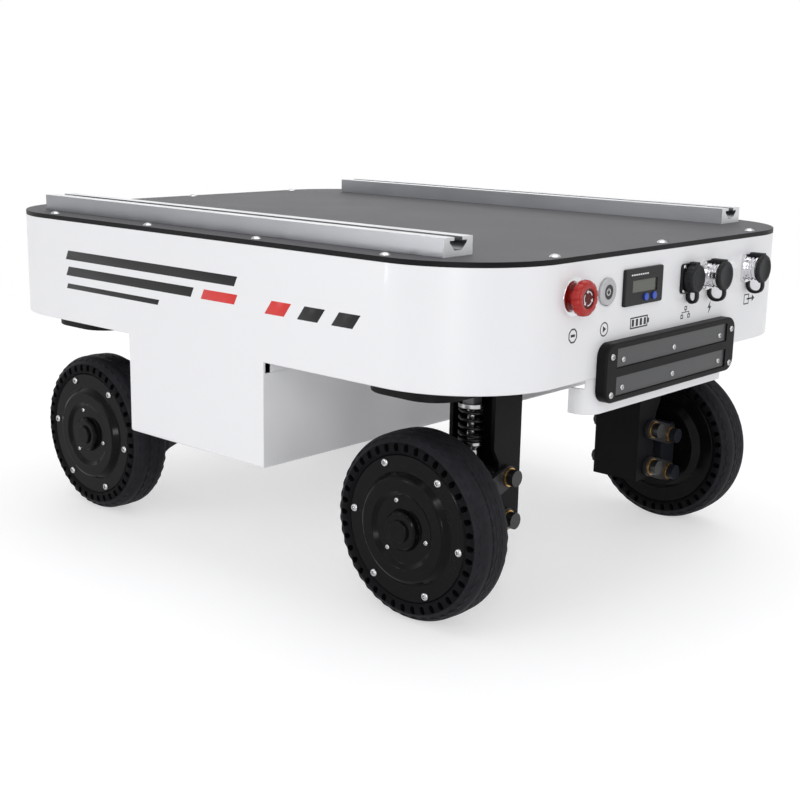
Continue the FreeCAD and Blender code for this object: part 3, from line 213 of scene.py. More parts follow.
FINISHES = {
    "white_paint": dict(
        colour=(0.80, 0.80, 0.805), roughness=0.36, mottle=0.012, patch=120 * MM, grain=1.1 * MM,
        depth=0.012 * MM, edge=1.2 * MM, coat=0.15),
    "deck_grey": dict(
        colour=(0.098, 0.098, 0.103), roughness=0.6, mottle=0.10, patch=60 * MM, grain=0.6 * MM,
        depth=0.03 * MM, specular=0.07),
    "edge_black": dict(colour=(0.004, 0.004, 0.005), roughness=0.45, mottle=0.15, specular=0.12),
    "plate_black": dict(colour=(0.005, 0.005, 0.0055), roughness=0.45, mottle=0.25, specular=0.10),
    "bracket_black": dict(
        colour=(0.005, 0.005, 0.006), roughness=0.45, mottle=0.25, depth=0.03 * MM, specular=0.07),
    "knuckle_blue_grey": dict(
        colour=(0.009, 0.010, 0.014), roughness=0.42, mottle=0.25, specular=0.18),
    "anodised": dict(
        colour=(0.30, 0.305, 0.32), roughness=0.34, metallic=1.0, mottle=0.05, grain=0.35 * MM,
        depth=0.004 * MM, stretch=(60, 1, 1), edge=0.3 * MM),
    "cut_aluminium": dict(
        colour=(0.62, 0.63, 0.64), roughness=0.45, metallic=1.0, grain=0.3 * MM,
        stretch=(1, 12, 1)),
    "steel": dict(
        colour=(0.47, 0.47, 0.48), roughness=0.22, metallic=1.0, mottle=0.06, edge=0.25 * MM,
        depth=0.004 * MM),
    "turned_steel": dict(
        colour=(0.42, 0.42, 0.43), roughness=0.3, metallic=1.0, mottle=0.1, edge=0.3 * MM,
        depth=0.006 * MM),
    "chrome": dict(
        colour=(0.70, 0.70, 0.72), roughness=0.14, metallic=1.0, mottle=0.04, edge=0.3 * MM,
        depth=0.002 * MM),
    "cast_grey": dict(
        colour=(0.15, 0.15, 0.155), roughness=0.5, metallic=0.5, mottle=0.12, depth=0.03 * MM),
    "link_grey": dict(
        colour=(0.030, 0.030, 0.032), roughness=0.42, metallic=0.3, mottle=0.2, specular=0.25),
    "zinc_gold": dict(
        colour=(0.60, 0.36, 0.12), roughness=0.28, metallic=1.0, mottle=0.25, patch=6 * MM,
        edge=0.25 * MM),
    "black_oxide": dict(
        colour=(0.012, 0.012, 0.012), roughness=0.32, mottle=0.2, edge=0.3 * MM, specular=0.4),
    "motor_black": dict(
        colour=(0.003, 0.003, 0.0034), roughness=0.16, mottle=0.25, patch=30 * MM, grain=0.9 * MM,
        depth=0.004 * MM, edge=0.9 * MM, specular=0.09),
    "rubber": dict(
        colour=(0.005, 0.005, 0.006), roughness=0.6, mottle=0.35, patch=18 * MM, grain=0.7 * MM,
        depth=0.06 * MM, specular=0.05),
    "tread_rubber": dict(
        colour=(0.015, 0.015, 0.018), roughness=0.6, mottle=0.4, patch=9 * MM, grain=0.6 * MM,
        depth=0.05 * MM, specular=0.09),
    "spring_black": dict(colour=(0.005, 0.005, 0.006), roughness=0.28, mottle=0.2, specular=0.3),
    "black_plastic": dict(
        colour=(0.009, 0.009, 0.010), roughness=0.4, mottle=0.15, grain=0.5 * MM, depth=0.02 * MM,
        edge=0.6 * MM, specular=0.2),
    "cap_plastic": dict(
        colour=(0.008, 0.0085, 0.010), roughness=0.5, mottle=0.2, grain=0.4 * MM, depth=0.03 * MM,
        edge=0.6 * MM, specular=0.2),
    "strap_rubber": dict(
        colour=(0.006, 0.006, 0.007), roughness=0.5, mottle=0.2, grain=0.4 * MM, depth=0.03 * MM,
        specular=0.18),
    "red_plastic": dict(
        colour=(0.38, 0.009, 0.006), roughness=0.2, mottle=0.10, edge=0.8 * MM, depth=0.003 * MM,
        specular=0.35),
    "dark_red": dict(
        colour=(0.085, 0.003, 0.003), roughness=0.3, mottle=0.12, edge=0.5 * MM, specular=0.15),
    "blue_plastic": dict(colour=(0.015, 0.06, 0.42), roughness=0.3, mottle=0.06, edge=0.4 * MM),
    "display": dict(
        colour=(0.060, 0.066, 0.046), roughness=0.14, mottle=0.05, grain=0.5 * MM, depth=0.0,
        edge=0.2 * MM, coat=0.5, specular=0.3),
    "contact_grey": dict(
        colour=(0.036, 0.037, 0.039), roughness=0.36, mottle=0.12, grain=0.4 * MM,
        depth=0.006 * MM, stretch=(1, 40, 1)),
    "battery_blue": dict(colour=(0.04, 0.06, 0.14), roughness=0.35),
    "case_grey": dict(colour=(0.25, 0.255, 0.26), roughness=0.5),
    "print_black": dict(
        colour=(0.008, 0.008, 0.009), roughness=0.4, mottle=0.1, edge=0.05 * MM, specular=0.3),
    "print_red": dict(colour=(0.62, 0.018, 0.014), roughness=0.36, mottle=0.05, edge=0.05 * MM),
    "print_white": dict(colour=(0.72, 0.72, 0.72), roughness=0.4, mottle=0.05, edge=0.05 * MM),
}
MATERIALS = {name: finish(name, **look) for name, look in FINISHES.items()}


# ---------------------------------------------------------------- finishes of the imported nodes

def paint(node, *rules):
    """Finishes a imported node. Each rule is a finish, or a finish and a test of a face's middle and
    normal; the last rule that a face meets is the one it takes."""
    mesh = NODES[node].data
    mesh.materials.clear()
    for index, rule in enumerate(rules):
        name, test = rule if isinstance(rule, tuple) else (rule, None)
        mesh.materials.append(MATERIALS[name])
        for polygon in mesh.polygons:
            if test is None or test(polygon.center, polygon.normal):
                polygon.material_index = index


def paint_body():
    deck_top = box("deck_plate")[1].z
    paint("body_shell", "white_paint")
    paint("deck_plate", "edge_black",
          ("deck_grey", lambda place, normal: normal.z > ALONG and place.z > deck_top - MM))
    paint("deck_screws", "steel")
    for rail in ("rail_left", "rail_right"):
        paint(rail, "anodised", ("cut_aluminium", lambda place, normal: abs(normal.x) > ALONG))
    paint("battery_pack", "battery_blue")
    paint("control_box", "case_grey")


def paint_controls():
    window = box("meter_case")[1].x - WINDOW_DEPTH
    keys_top = box("meter_key_left")[1].z
    data_side = (middle("data_cap").y + middle("charge_cap").y) / 2

    paint("start_bezel", "turned_steel")
    paint("start_plunger", "black_oxide")
    paint("meter_case", "black_plastic", ("display", lambda place, normal: (
        normal.x > ALONG and place.x < window and place.z > keys_top)))
    for key in ("meter_key_left", "meter_key_right"):
        paint(key, "blue_plastic")
    paint("panel_sockets", "chrome", ("black_plastic", lambda place, normal: place.y < data_side))
    paint("charge_frame", "plate_black")
    paint("charge_contacts", "contact_grey")


def is_washer(place, _):
    """True for a face of one of the gilt washers under the heads of the pivot bolts."""
    axle, way = ("axle_front_left", 1) if place.x > 0 else ("axle_rear_left", -1)
    out = (place.x - middle(axle).x) * way
    return WASHER_FROM - 0.1 * MM < out < WASHER_FROM + WASHER_THICK and place.z < LINK_TOP


def is_tread(corner):
    """A test for the faces round a tyre's crown."""
    centre = middle(f"tyre_{corner}")

    def test(place, normal):
        out = Vector((place.x - centre.x, 0, place.z - centre.z))
        return out.length > CROWN_FROM and normal.dot(out.normalized()) > 0.6

    return test


def paint_running_gear():
    seat_low = box("damper_tops")[1].z - SEAT_DEPTH
    paint("suspension_bolts", "black_oxide", ("zinc_gold", is_washer))
    paint("damper_tops", "steel", ("cast_grey", lambda place, normal: place.z > seat_low))
    for corner in CORNERS:
        paint(f"bracket_{corner}", "bracket_black")
        paint(f"upper_arm_{corner}", "link_grey")
        paint(f"lower_arm_{corner}", "link_grey")
        paint(f"knuckle_{corner}", "knuckle_blue_grey", ("zinc_gold", is_washer))
        paint(f"axle_{corner}", "turned_steel")
        paint(f"damper_body_{corner}", "steel")
        paint(f"hub_motor_{corner}", "motor_black")
        paint(f"tyre_{corner}", "rubber", ("tread_rubber", is_tread(corner)))


paint_body()
paint_controls()
paint_running_gear()


# ---------------------------------------------------------------- making pieces

def make_piece(name, work, finish_name, body=None, crease=40.0):
    """An object from work, with its finish and the body it rides on."""
    bmesh.ops.recalc_face_normals(work, faces=work.faces)
    for face in work.faces:
        face.smooth = True
    for edge in work.edges:
        if len(edge.link_faces) == 2 and edge.calc_face_angle() > math.radians(crease):
            edge.smooth = False
    mesh = bpy.data.meshes.new(name)
    work.to_mesh(mesh)
    work.free()
    mesh.materials.append(MATERIALS[finish_name])
    made = bpy.data.objects.new(name, mesh)
    bpy.context.scene.collection.objects.link(made)
    if body:
        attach(made, body)
    return made


def facing(place, out, spin=0.0):
    """Moves the origin to place and turns +Z to out."""
    turn = Vector(out).to_track_quat("Z", "Y").to_matrix().to_4x4()
    return Matrix.Translation(place) @ turn @ Matrix.Rotation(spin, 4, "Z")


def add_turned(work, where, rings, segments=32):
    """Adds a shape turned about +Z and moved by where. A ring is a radius, a height and, for one
    that isn't round, the radius's factor at each angle; a radius of 0 is a point."""
    loops = []
    for radius, height, *factor in rings:
        loop = []
        for k in range(segments if radius else 1):
            angle = TURN * k / segments
            reach = radius * (factor[0](angle) if factor else 1)
            loop.append(work.verts.new(where @ Vector((reach * math.cos(angle),
                                                       reach * math.sin(angle), height))))
        loops.append(loop)
    for low, high in zip(loops, loops[1:]):
        for k in range(segments):
            after = (k + 1) % segments
            corners = [low[k % len(low)], low[after % len(low)], high[after % len(high)],
                       high[k % len(high)]]
            work.faces.new(list(dict.fromkeys(corners)))


def hexagon(angle):
    """The radius factor of a hexagon whose flats are at radius 1."""
    return 1 / math.cos(angle % (TURN / 6) - TURN / 12)


def grips(count, depth):
    """A radius factor that scoops count shallow notches out of a rim."""
    return lambda angle: 1 - depth * max(0.0, math.cos(count * angle)) ** 3


def add_screw(work, where, radius, height):
    """Adds a button-head screw with a hexagonal socket, its underside at the origin."""
    socket = radius * 0.42
    add_turned(work, where, [
        (0, 0), (radius, 0), (radius, height * 0.3), (radius * 0.93, height * 0.62),
        (radius * 0.76, height * 0.9), (socket * 1.35, height), (socket * 1.1, height * 0.98),
        (socket, height * 0.9, hexagon), (socket * 0.98, height * 0.3, hexagon),
        (0, height * 0.2)], 24)


def join_rings(work, rings, closed=False):
    """Adds the faces between rings of points, and the two ends or, if closed, the faces from the
    last ring to the first."""
    count = len(rings[0])
    for first, second in zip(rings, rings[1:] + (rings[:1] if closed else [])):
        for k in range(count):
            after = (k + 1) % count
            work.faces.new([first[k], first[after], second[after], second[k]])
    if not closed:
        work.faces.new(rings[0])
        work.faces.new(rings[-1])


def add_swept(work, points, section):
    """Adds a closed section, given as (sideways, outward) pairs, carried along points. A point is
    its place and its two directions."""
    join_rings(work, [[work.verts.new(place + side * a + out * b) for a, b in section]
                      for place, side, out in points])


def round_section(radius, sides):
    """The section of a round wire."""
    return [(radius * math.cos(TURN * k / sides), radius * math.sin(TURN * k / sides))
            for k in range(sides)]


def add_slab(work, face, points, thick=FILM, base=0.0):
    """Adds a plate with this outline on a face, rounded a little at its front edge."""
    centre = [sum(part) / len(points) for part in zip(*points)]
    rings = []
    for inset, out in ((0.0, base), (0.0, base + thick * 0.7),
                       (min(0.04 * MM, thick * 0.5), base + thick)):
        ring = []
        for a, b in points:
            a, b = a - centre[0], b - centre[1]
            k = 1 - inset / math.hypot(a, b)
            ring.append(work.verts.new(face.at(centre[0] + a * k, centre[1] + b * k, out)))
        rings.append(ring)
    join_rings(work, rings)


def add_bar(work, face, start, end, width, **settings):
    """Adds a straight mark from start to end."""
    start, end = Vector(start), Vector(end)
    along = (end - start).normalized()
    side = Vector((-along.y, along.x)) * width / 2
    add_slab(work, face, [start - side, end - side, end + side, start + side], **settings)


def add_hoop(work, face, radius, width, sides=32, start=0.0, sweep=TURN, **settings):
    """Adds a ring round the face's origin, or with sweep an arc of one, drawn as one bar after
    another."""
    places = [Vector((radius * math.cos(start + sweep * k / sides),
                      radius * math.sin(start + sweep * k / sides))) for k in range(sides + 1)]
    for first, second in zip(places, places[1:]):
        add_bar(work, face, first, second, width, **settings)


def add_frame(work, face, low, high, width):
    """Adds the outline of a box from low to high on a face."""
    half = width / 2
    for z in (low[1] + half, high[1] - half):
        add_bar(work, face, (low[0], z), (high[0], z), width)
    for y in (low[0] + half, high[0] - half):
        add_bar(work, face, (y, low[1] + width), (y, high[1] - width), width)


def add_tray(work, low, high, radius, levels):
    """Adds a rounded plate between two corners; levels are (inset, height) from top to bottom."""
    centre, half = (low + high) / 2, (high - low) / 2
    steps = 8  # of a rounded corner
    rings = []
    for inset, height in levels:
        ring = []
        for quarter, (a, b) in enumerate(((1, 1), (-1, 1), (-1, -1), (1, -1))):
            for k in range(steps + 1):
                angle = TURN * (quarter + k / steps) / 4
                ring.append(work.verts.new((
                    centre.x + a * (half.x - radius) + (radius - inset) * math.cos(angle),
                    centre.y + b * (half.y - radius) + (radius - inset) * math.sin(angle),
                    height)))
        rings.append(ring)
    join_rings(work, rings)


# ---------------------------------------------------------------- screws

def make_hub_screws(corner):
    """Six cover screws and three small ones outside on a hub."""
    side = outward(corner)
    centre = middle(f"tyre_{corner}")
    low, high = box(f"hub_motor_{corner}")
    outer = high.y if side > 0 else low.y
    work = bmesh.new()
    # depth inside the hub's outer end, distance from its middle, number of screws, angle of the
    # first, and a screw's radius and height
    for depth, reach, count, first, radius, height in ((11, 59, 6, -66, 3.7, 2.3),
                                                       (8.5, 26, 3, -12, 2.3, 1.4)):
        for k in range(count):
            angle = math.radians(first) + TURN * k / count
            place = Vector((centre.x - side * reach * MM * math.cos(angle),
                            outer - side * depth * MM,
                            centre.z + reach * MM * math.sin(angle)))
            add_screw(work, facing(place, (0, side, 0), angle), radius * MM, height * MM)
    make_piece(f"hub_screws_{corner}", work, "steel", f"wheel_{corner}")


def add_front_screws(work, x, places, radius, height):
    """Adds a screw that looks to the front at each (y, z) of places."""
    for y, z in places:
        add_screw(work, facing((x, y, z), (1, 0, 0)), radius * MM, height * MM)


def make_front_screws():
    """Screws of the charging frame, its contact strips and the socket flanges."""
    work = bmesh.new()
    low, high = box("charge_frame")
    add_front_screws(work, high.x, [
        (y, z) for y in (low.y + 8.5 * MM, high.y - 8.5 * MM)
        for z in (high.z - 11 * MM, low.z + 7.5 * MM)], 2.9, 1.3)
    strip_heights = mm(226.5, 202.5)
    add_front_screws(work, box("charge_contacts")[1].x, [
        (y, z) for y in mm(-82.5, 0, 82.5) for z in strip_heights], 2.6, 1.1)
    make_piece("charging_screws", work, "steel", "root")
    work = bmesh.new()
    flange = 2.5 * MM  # its front, in front of the shell
    reach = 10.9 * MM  # from a socket's middle to a screw, across and up
    for cap in CAPS:
        y = middle(cap).y
        add_front_screws(work, FRONT_X + flange, [
            (y + across, SOCKET_HEIGHT + up) for across in (-reach, reach)
            for up in (-reach, reach)], 1.9, 1.0)
    make_piece("socket_screws", work, "steel", "root")


# ---------------------------------------------------------------- printed markings

def make_display():
    """The row of plain marks above the meter's window."""
    low, high = box("meter_case")
    height = high.z - 5.2 * MM
    first, pitch, length, width = mm(8.5, 3.5, 2.5, 1.3)
    work = bmesh.new()
    for k in range(8):
        y = low.y + first + pitch * k
        add_bar(work, front_face(high.x), (y, height), (y + length, height), width)
    make_piece("meter_ticks", work, "print_white", "root")


def make_turning_arrows():
    """Three arrows round the disc of the emergency stop."""
    head = middle("estop_head")
    face = front_face(FRONT_X + STOP_FACE, head.y, head.z)
    thick = 0.15 * MM
    radius, line, barb, point = mm(5.6, 0.9, 1.7, 2.4)
    sweep = 1.25
    work = bmesh.new()
    for k in range(3):
        start = TURN * k / 3 + 0.4
        add_hoop(work, face, radius, line, sides=9, start=start, sweep=sweep, thick=thick)
        tip = start + sweep
        across = Vector((math.cos(tip), math.sin(tip)))
        onward = Vector((-across.y, across.x))
        root = across * radius
        add_slab(work, face, [root - across * barb, root + across * barb, root + onward * point],
                 thick=thick)
    make_piece("turning_arrows", work, "print_white", "estop_head")


def make_power_mark():
    """The mark on the start button: a ring that is open at the top, and a bar in the gap."""
    button = middle("start_plunger")
    face = front_face(box("start_plunger")[1].x, button.y, button.z)
    thick = 0.12 * MM
    work = bmesh.new()
    add_hoop(work, face, 2.6 * MM, 0.7 * MM, sides=20, start=2.1, sweep=5.2, thick=thick)
    add_bar(work, face, mm(0, 0.8), mm(0, 3.3), 0.7 * MM, thick=thick)
    make_piece("power_mark", work, "print_white", "start_plunger")


def icon_face(node, shift=0.0):
    """The place of the icon under a control."""
    return front_face(FRONT_X, middle(node).y + shift * MM, ICON_HEIGHT)


def add_battery_icon(work):
    face = icon_face("meter_case")
    add_frame(work, face, mm(-15, -5), mm(13, 5), 1.2 * MM)
    add_bar(work, face, mm(13, 0), mm(15.4, 0), 4 * MM)
    for k in range(4):
        y = -10.6 + 6.4 * k
        add_bar(work, face, mm(y, -3), mm(y, 3), 3.6 * MM)


def add_data_icon(work):
    """Adds three boxes joined by a line, one above it and two below."""
    face = icon_face("data_cap")
    for y, z in ((0, 3.6), (-6, -3.8), (6, -3.8)):
        add_frame(work, face, mm(y - 2.2, z - 1.9), mm(y + 2.2, z + 1.9), 1.0 * MM)
        add_bar(work, face, mm(y, z + 1.9 if z < 0 else z - 1.9), mm(y, 0), 0.8 * MM)
    add_bar(work, face, mm(-6.4, 0), mm(6.4, 0), 0.8 * MM)


def add_supply_icon(work):
    """Adds a box with an arrow out of it."""
    face = icon_face("discharge_cap", 8)
    add_frame(work, face, mm(-11, -5), mm(-1, 5), 1.1 * MM)
    add_bar(work, face, mm(-5, 0), mm(6, 0), 1.6 * MM)
    add_slab(work, face, [mm(5.4, -3.4), mm(10.6, 0), mm(5.4, 3.4)])


def make_icons():
    """Plain icons under the controls: stop, start, battery level, data, charging and supply."""
    work = bmesh.new()
    stop = icon_face("estop_head")
    add_hoop(work, stop, 5.8 * MM, 1.3 * MM, sides=8, start=TURN / 16)
    add_bar(work, stop, mm(-3.0, 0), mm(3.0, 0), 2.2 * MM)
    start = icon_face("start_bezel")
    add_hoop(work, start, 5.6 * MM, 1.1 * MM, sides=28)
    add_slab(work, start, [mm(-1.8, -2.8), mm(3.2, 0), mm(-1.8, 2.8)])
    add_battery_icon(work)
    add_data_icon(work)
    add_slab(work, icon_face("charge_cap", 5), [
        mm(1.8, 6.2), mm(-3.4, -0.6), mm(-0.4, -0.6), mm(-1.8, -6.2), mm(3.4, 0.8), mm(0.4, 0.8)])
    add_supply_icon(work)
    make_piece("panel_icons", work, "print_black", "root")


STRIPES = (  # colour, from and to along X, bottom, height and how far the top leans, in mm
    ("black", -205, 47, 275, 9, 4.5),
    ("black", -205, -12, 259, 9, 4.5),
    ("black", -205, -60, 246, 5, 2.5),
    ("red", 2, 47, 259, 9, 4.5),
    ("red", 86, 110, 256, 12, 9),
    ("black", 126, 150, 256, 12, 9),
    ("black", 166, 190, 256, 12, 9))


def make_side_stripes():
    """Plain stripes on both sides."""
    for side, (face, way) in SIDES.items():
        works = {"black": bmesh.new(), "red": bmesh.new()}
        for colour, low_x, high_x, bottom, height, lean in STRIPES:
            start, end = sorted((low_x * way, high_x * way))
            lean, top = lean * way, bottom + height
            add_slab(works[colour], face, [mm(start, bottom), mm(end, bottom),
                                           mm(end + lean, top), mm(start + lean, top)])
        for colour, work in works.items():
            make_piece(f"side_stripes_{colour}_{side}", work, f"print_{colour}",
                       "root")


# ---------------------------------------------------------------- springs, straps and tread

def make_spring(corner):
    """The coil spring, its turns closed at both ends."""
    low, high = box(f"spring_{corner}")
    axis = middle(f"damper_body_{corner}")
    wire, radius = mm(1.6, 10.4)
    turns, closed, steps = 5, 0.6, 32  # how many in all, how many closed at each end, steps of one
    closed_rise = 0.06  # share of the height that rises evenly, in the closed turns too
    bottom, top = low.z + wire, high.z - wire
    points = []
    for k in range(turns * steps + 1):
        turn = k / steps
        open_part = min(max((turn - closed) / (turns - 2 * closed), 0.0), 1.0)
        share = closed_rise * turn / turns + (1 - closed_rise) * open_part
        height = bottom + (top - bottom) * share
        angle = TURN * turn * outward(corner)
        out = Vector((math.cos(angle), math.sin(angle), 0))
        points.append((Vector((axis.x, axis.y, height)) + out * radius, Vector((0, 0, 1)), out))
    work = bmesh.new()
    add_swept(work, points, round_section(wire, 12))
    spring = make_piece(f"spring_coil_{corner}", work, "spring_black", crease=60)
    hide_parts(f"spring_{corner}")
    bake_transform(spring)


# How far a strap sags, how far below the socket's middle it is fixed, and how far in front of the
# shell it ends.
STRAPS = {
    "data_cap": mm(9.5, 12.0, 10.0),
    "charge_cap": mm(10, 12.9, 16.4),
    "discharge_cap": mm(10, 12.9, 16.4)}
STRAP_SECTION = [mm(a * 2.6, b * 1.3) for a, b in (
    (-0.7, -1), (0.7, -1), (1, -0.6), (1, 0.6), (0.7, 1), (-0.7, 1), (-1, 0.6), (-1, -0.6))]


def make_strap(cap):
    """The rubber retainer looped from a socket's flange to the underside of its cap."""
    sag, below, reach = STRAPS[cap]
    y, height = middle(cap).y, SOCKET_HEIGHT - below
    start, end = FRONT_X + 1.7 * MM, FRONT_X + reach
    half = (end - start) / 2
    steps, fullness, most_bulge = 32, 0.8, 0.9 * MM
    path = []
    for k in range(steps + 1):
        angle = math.pi * k / steps
        bulge = -most_bulge * math.sin(2 * angle)
        path.append(Vector((start + half * (1 - math.cos(angle)) + bulge, y,
                            height - sag * math.sin(angle) ** fullness)))
    side = Vector((0, 1, 0))
    points = []
    for k, place in enumerate(path):
        along = (path[min(k + 1, steps)] - path[max(k - 1, 0)]).normalized()
        points.append((place, side, along.cross(side)))
    work = bmesh.new()
    add_swept(work, points, STRAP_SECTION)
    strap = make_piece(f"{cap}_strap", work, "strap_rubber", crease=50)
    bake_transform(strap)


def make_tread(corner):
    """Wavy ribs round the crown of a tyre."""
    centre = middle(f"tyre_{corner}")
    low, high = box(f"tyre_{corner}")
    radius = (high.x - low.x) / 2
    half_width = (high.y - low.y) / 2
    drop, pitch, wave = mm(5.2, 4.1, 0.95)  # from crown to edge, between ribs, and a rib's sway
    crown = (half_width ** 2 + drop ** 2) / (2 * drop)  # the radius of the crown's arc
    ribs, waves, steps = 9, 44, 8
    section = [mm(-1.25, -0.25), mm(-0.8, 0.42), mm(0.8, 0.42), mm(1.25, -0.25)]
    work = bmesh.new()
    for k in range(ribs):
        across = (k - ribs // 2) * pitch
        shift = 0.5 * (k % 2)
        rings = []
        for step in range(waves * steps):
            angle = TURN * step / (waves * steps)
            sway = wave * math.sin(TURN * (step / steps + shift))
            ring = []
            for offset, rise in section:
                y = across + sway + offset
                reach = radius - crown + math.sqrt(crown ** 2 - y ** 2) + rise
                ring.append(work.verts.new((centre.x + reach * math.cos(angle), centre.y + y,
                                            centre.z + reach * math.sin(angle))))
            rings.append(ring)
        join_rings(work, rings, closed=True)
    make_piece(f"tread_{corner}", work, "tread_rubber", f"wheel_{corner}")


# ---------------------------------------------------------------- the stop button, sockets, floor

def make_stop_button():
    """The stop button's notched head with its sunk disc."""
    head = middle("estop_head")
    where = facing((FRONT_X, head.y, head.z), (1, 0, 0))
    rim = grips(12, 0.075)
    work = bmesh.new()
    add_turned(work, where, [
        (0, 0), (6 * MM, 0), (6 * MM, STOP_BACK), (11.5 * MM, STOP_BACK),
        (13.9 * MM, STOP_BACK + MM, rim), (14.8 * MM, STOP_BACK + 2.2 * MM, rim),
        (*mm(14.8, 10.6), rim), (*mm(14.2, 12.4), rim), (*mm(13.0, 13.5), rim), mm(11.4, 14.0),
        mm(8.9, 14.0), mm(8.2, 13.5), (STOP_DISC, STOP_FACE), (0, STOP_FACE)], 96)
    button = make_piece("stop_button", work, "red_plastic", "estop_head", crease=50)
    button.data.materials.append(MATERIALS["dark_red"])
    for polygon in button.data.polygons:
        apart = polygon.center - Vector((FRONT_X, head.y, head.z))
        if apart.x > STOP_FACE - MM and math.hypot(apart.y, apart.z) < STOP_DISC + 0.1 * MM:
            polygon.material_index = 1
    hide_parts("estop_head")


def make_stop_collar():
    """The flat collar round the stop button's stem."""
    head = middle("estop_head")
    work = bmesh.new()
    add_turned(work, facing((FRONT_X, head.y, head.z), (1, 0, 0)), [
        mm(6.3, 0), mm(16, 0), mm(16, 0.5), mm(15.5, 0.8), mm(12.2, 0.8), mm(11.9, 0.5),
        mm(6.3, 0.5), mm(6.3, 0)], 64)
    collar = make_piece("stop_collar", work, "chrome", "root")
    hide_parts("estop_collar")


def make_cover(cap):
    """A cap with a notched rim and the latch on top of it."""
    start, end, radius, latch = CAPS[cap]
    place = (FRONT_X, middle(cap).y, SOCKET_HEIGHT)
    rim = grips(18, 0.03)
    work = bmesh.new()
    add_turned(work, facing(place, (1, 0, 0)), [
        (0, start), (radius - 1.2 * MM, start), (radius, start + 0.9 * MM, rim),
        (radius, end - 1.6 * MM, rim), (radius - 0.5 * MM, end - 0.6 * MM, rim),
        (radius - 1.6 * MM, end), (radius - 4 * MM, end), (radius - 4.6 * MM, end - 0.5 * MM),
        (0, end - 0.5 * MM)], 108)
    low, high, half = mm(11.6, 14.8, 4)
    add_slab(work, front_face(*place), [
        (-half, low), (half, low), (half, high - MM), (half - MM, high), (MM - half, high),
        (-half, high - MM)], thick=end - 2 * MM - latch, base=latch)
    cover = make_piece(f"{cap}_cover", work, "cap_plastic", cap)
    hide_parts(cap)


def make_barrels():
    """Ringed metal barrels of the two power sockets."""
    thread, ring = mm(10.9, 11.9)  # radii between the rings and on them
    work = bmesh.new()
    for cap in ("charge_cap", "discharge_cap"):
        start = CAPS[cap][0]
        profile = [(thread, 2.3 * MM), (ring, 2.5 * MM)]
        for base in (3.2, 7.0, 10.8):
            profile += [(ring, base * MM), (ring, (base + 1.9) * MM),
                        (thread, (base + 2.3) * MM), (thread, (base + 3.4) * MM)]
        where = facing((FRONT_X, middle(cap).y, SOCKET_HEIGHT), (1, 0, 0))
        add_turned(work, where, profile + [(thread, start), (0, start)], 48)
    make_piece("socket_barrels", work, "chrome", "root")


def make_shell_floor():
    """The shell's white floor, and under it a filler as wide as the shell where its belly is."""
    low, high = box("base_plate")
    pack_low, pack_high = box("battery_pack")
    inset, round_corner, skirt = mm(3, 84, 1.2)
    belly_end = 3.5 * MM  # from the end of the battery pack to the outside of the belly's end
    belly_side = 265.27 * MM  # from the middle to just inside the shell's side skin
    work = bmesh.new()
    add_tray(work, low + Vector((inset, inset, 0)), high - Vector((inset, inset, 0)), round_corner,
             [(0, high.z), (0, high.z - skirt), (0.4 * MM, high.z - 1.6 * MM)])
    add_tray(work, Vector((pack_low.x - belly_end, -belly_side, 0)),
             Vector((pack_high.x + belly_end, belly_side, 0)), 0.05 * MM,
             [(0, high.z - skirt), (0, low.z)])
    panel = make_piece("shell_floor", work, "white_paint", "root")
    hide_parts("base_plate")


def make_mounting_plates():
    """The rimmed black plates that the wheel brackets bolt to."""
    low, high = box("base_plate")
    reach, half, rim, rim_width, round_corner = mm(240, 45, 4, 3, 30)
    work = bmesh.new()
    for end in ("front", "rear"):
        x = middle(f"tyre_{end}_left").x
        add_tray(work, Vector((x - half, -reach, 0)), Vector((x + half, reach, 0)), round_corner,
                 [(0, high.z - 1.7 * MM), (0, low.z - rim + 0.5 * MM), (0.5 * MM, low.z - rim),
                  (rim_width, low.z - rim), (rim_width, low.z)])
    make_piece("mounting_plates", work, "plate_black", "root")


make_icons()
make_side_stripes()
for corner in CORNERS:
    make_hub_screws(corner)
make_front_screws()
make_display()
make_turning_arrows()
make_power_mark()
make_stop_button()
make_stop_collar()
for cap in CAPS:
    make_cover(cap)
make_barrels()
make_shell_floor()
make_mounting_plates()
for corner in CORNERS:
    make_spring(corner)
    make_tread(corner)
for cap in CAPS:
    make_strap(cap)


# ---------------------------------------------------------------- stage, light and camera

CAMERA_PLACE = (0.9108, -1.0244, 0.4410)
CAMERA_HEADING = 42.10  # degrees from +Y towards -X
CAMERA_DIP = 13.09  # degrees below the horizon
CAMERA_ROLL = 0.99  # degrees
CAMERA_LENS = 59.32  # mm, with a sensor 36 mm wide
CAMERA_SHIFT = 0.0188  # share of the sensor's width
FLOOR_RADIUS = 4.0
FLOOR_FADE = (0.7, 2.4)  # from and to, outwards from the middle of the floor
LAMPS = (  # name, place, size, power and what it is aimed at
    ("overhead", (0.1, 0.1, 2.2), (2.2, 2.2), 22, (0, 0, 0.2)),
    ("right_side", (-0.4, -2.2, 1.1), (1.8, 1.2), 5, (0, 0, 0.2)),
    ("front_end", (2.3, 0.6, 0.5), (1.4, 0.8), 7, (0, 0, 0.2)),
    ("rear", (-2.0, 2.2, 1.0), (2.4, 1.2), 10, (0, 0, 0.2)),
    ("upper_strip", (1.6, -1.9, 1.5), (0.16, 1.2), 9, (0.2, -0.2, 0.1)),
    ("lower_strip", (-1.0, -1.9, 0.35), (0.12, 0.7), 4, (0.2, -0.2, 0.1)),
    ("low_right", (1.3, -1.9, 0.3), (0.4, 0.35), 6, (0.1, -0.25, 0.15)))


def place_object(name, data, matrix=None):
    """An object of the stage, linked and put at its matrix."""
    made = bpy.data.objects.new(name, data)
    bpy.context.scene.collection.objects.link(made)
    if matrix is not None:
        made.matrix_world = matrix
    return made


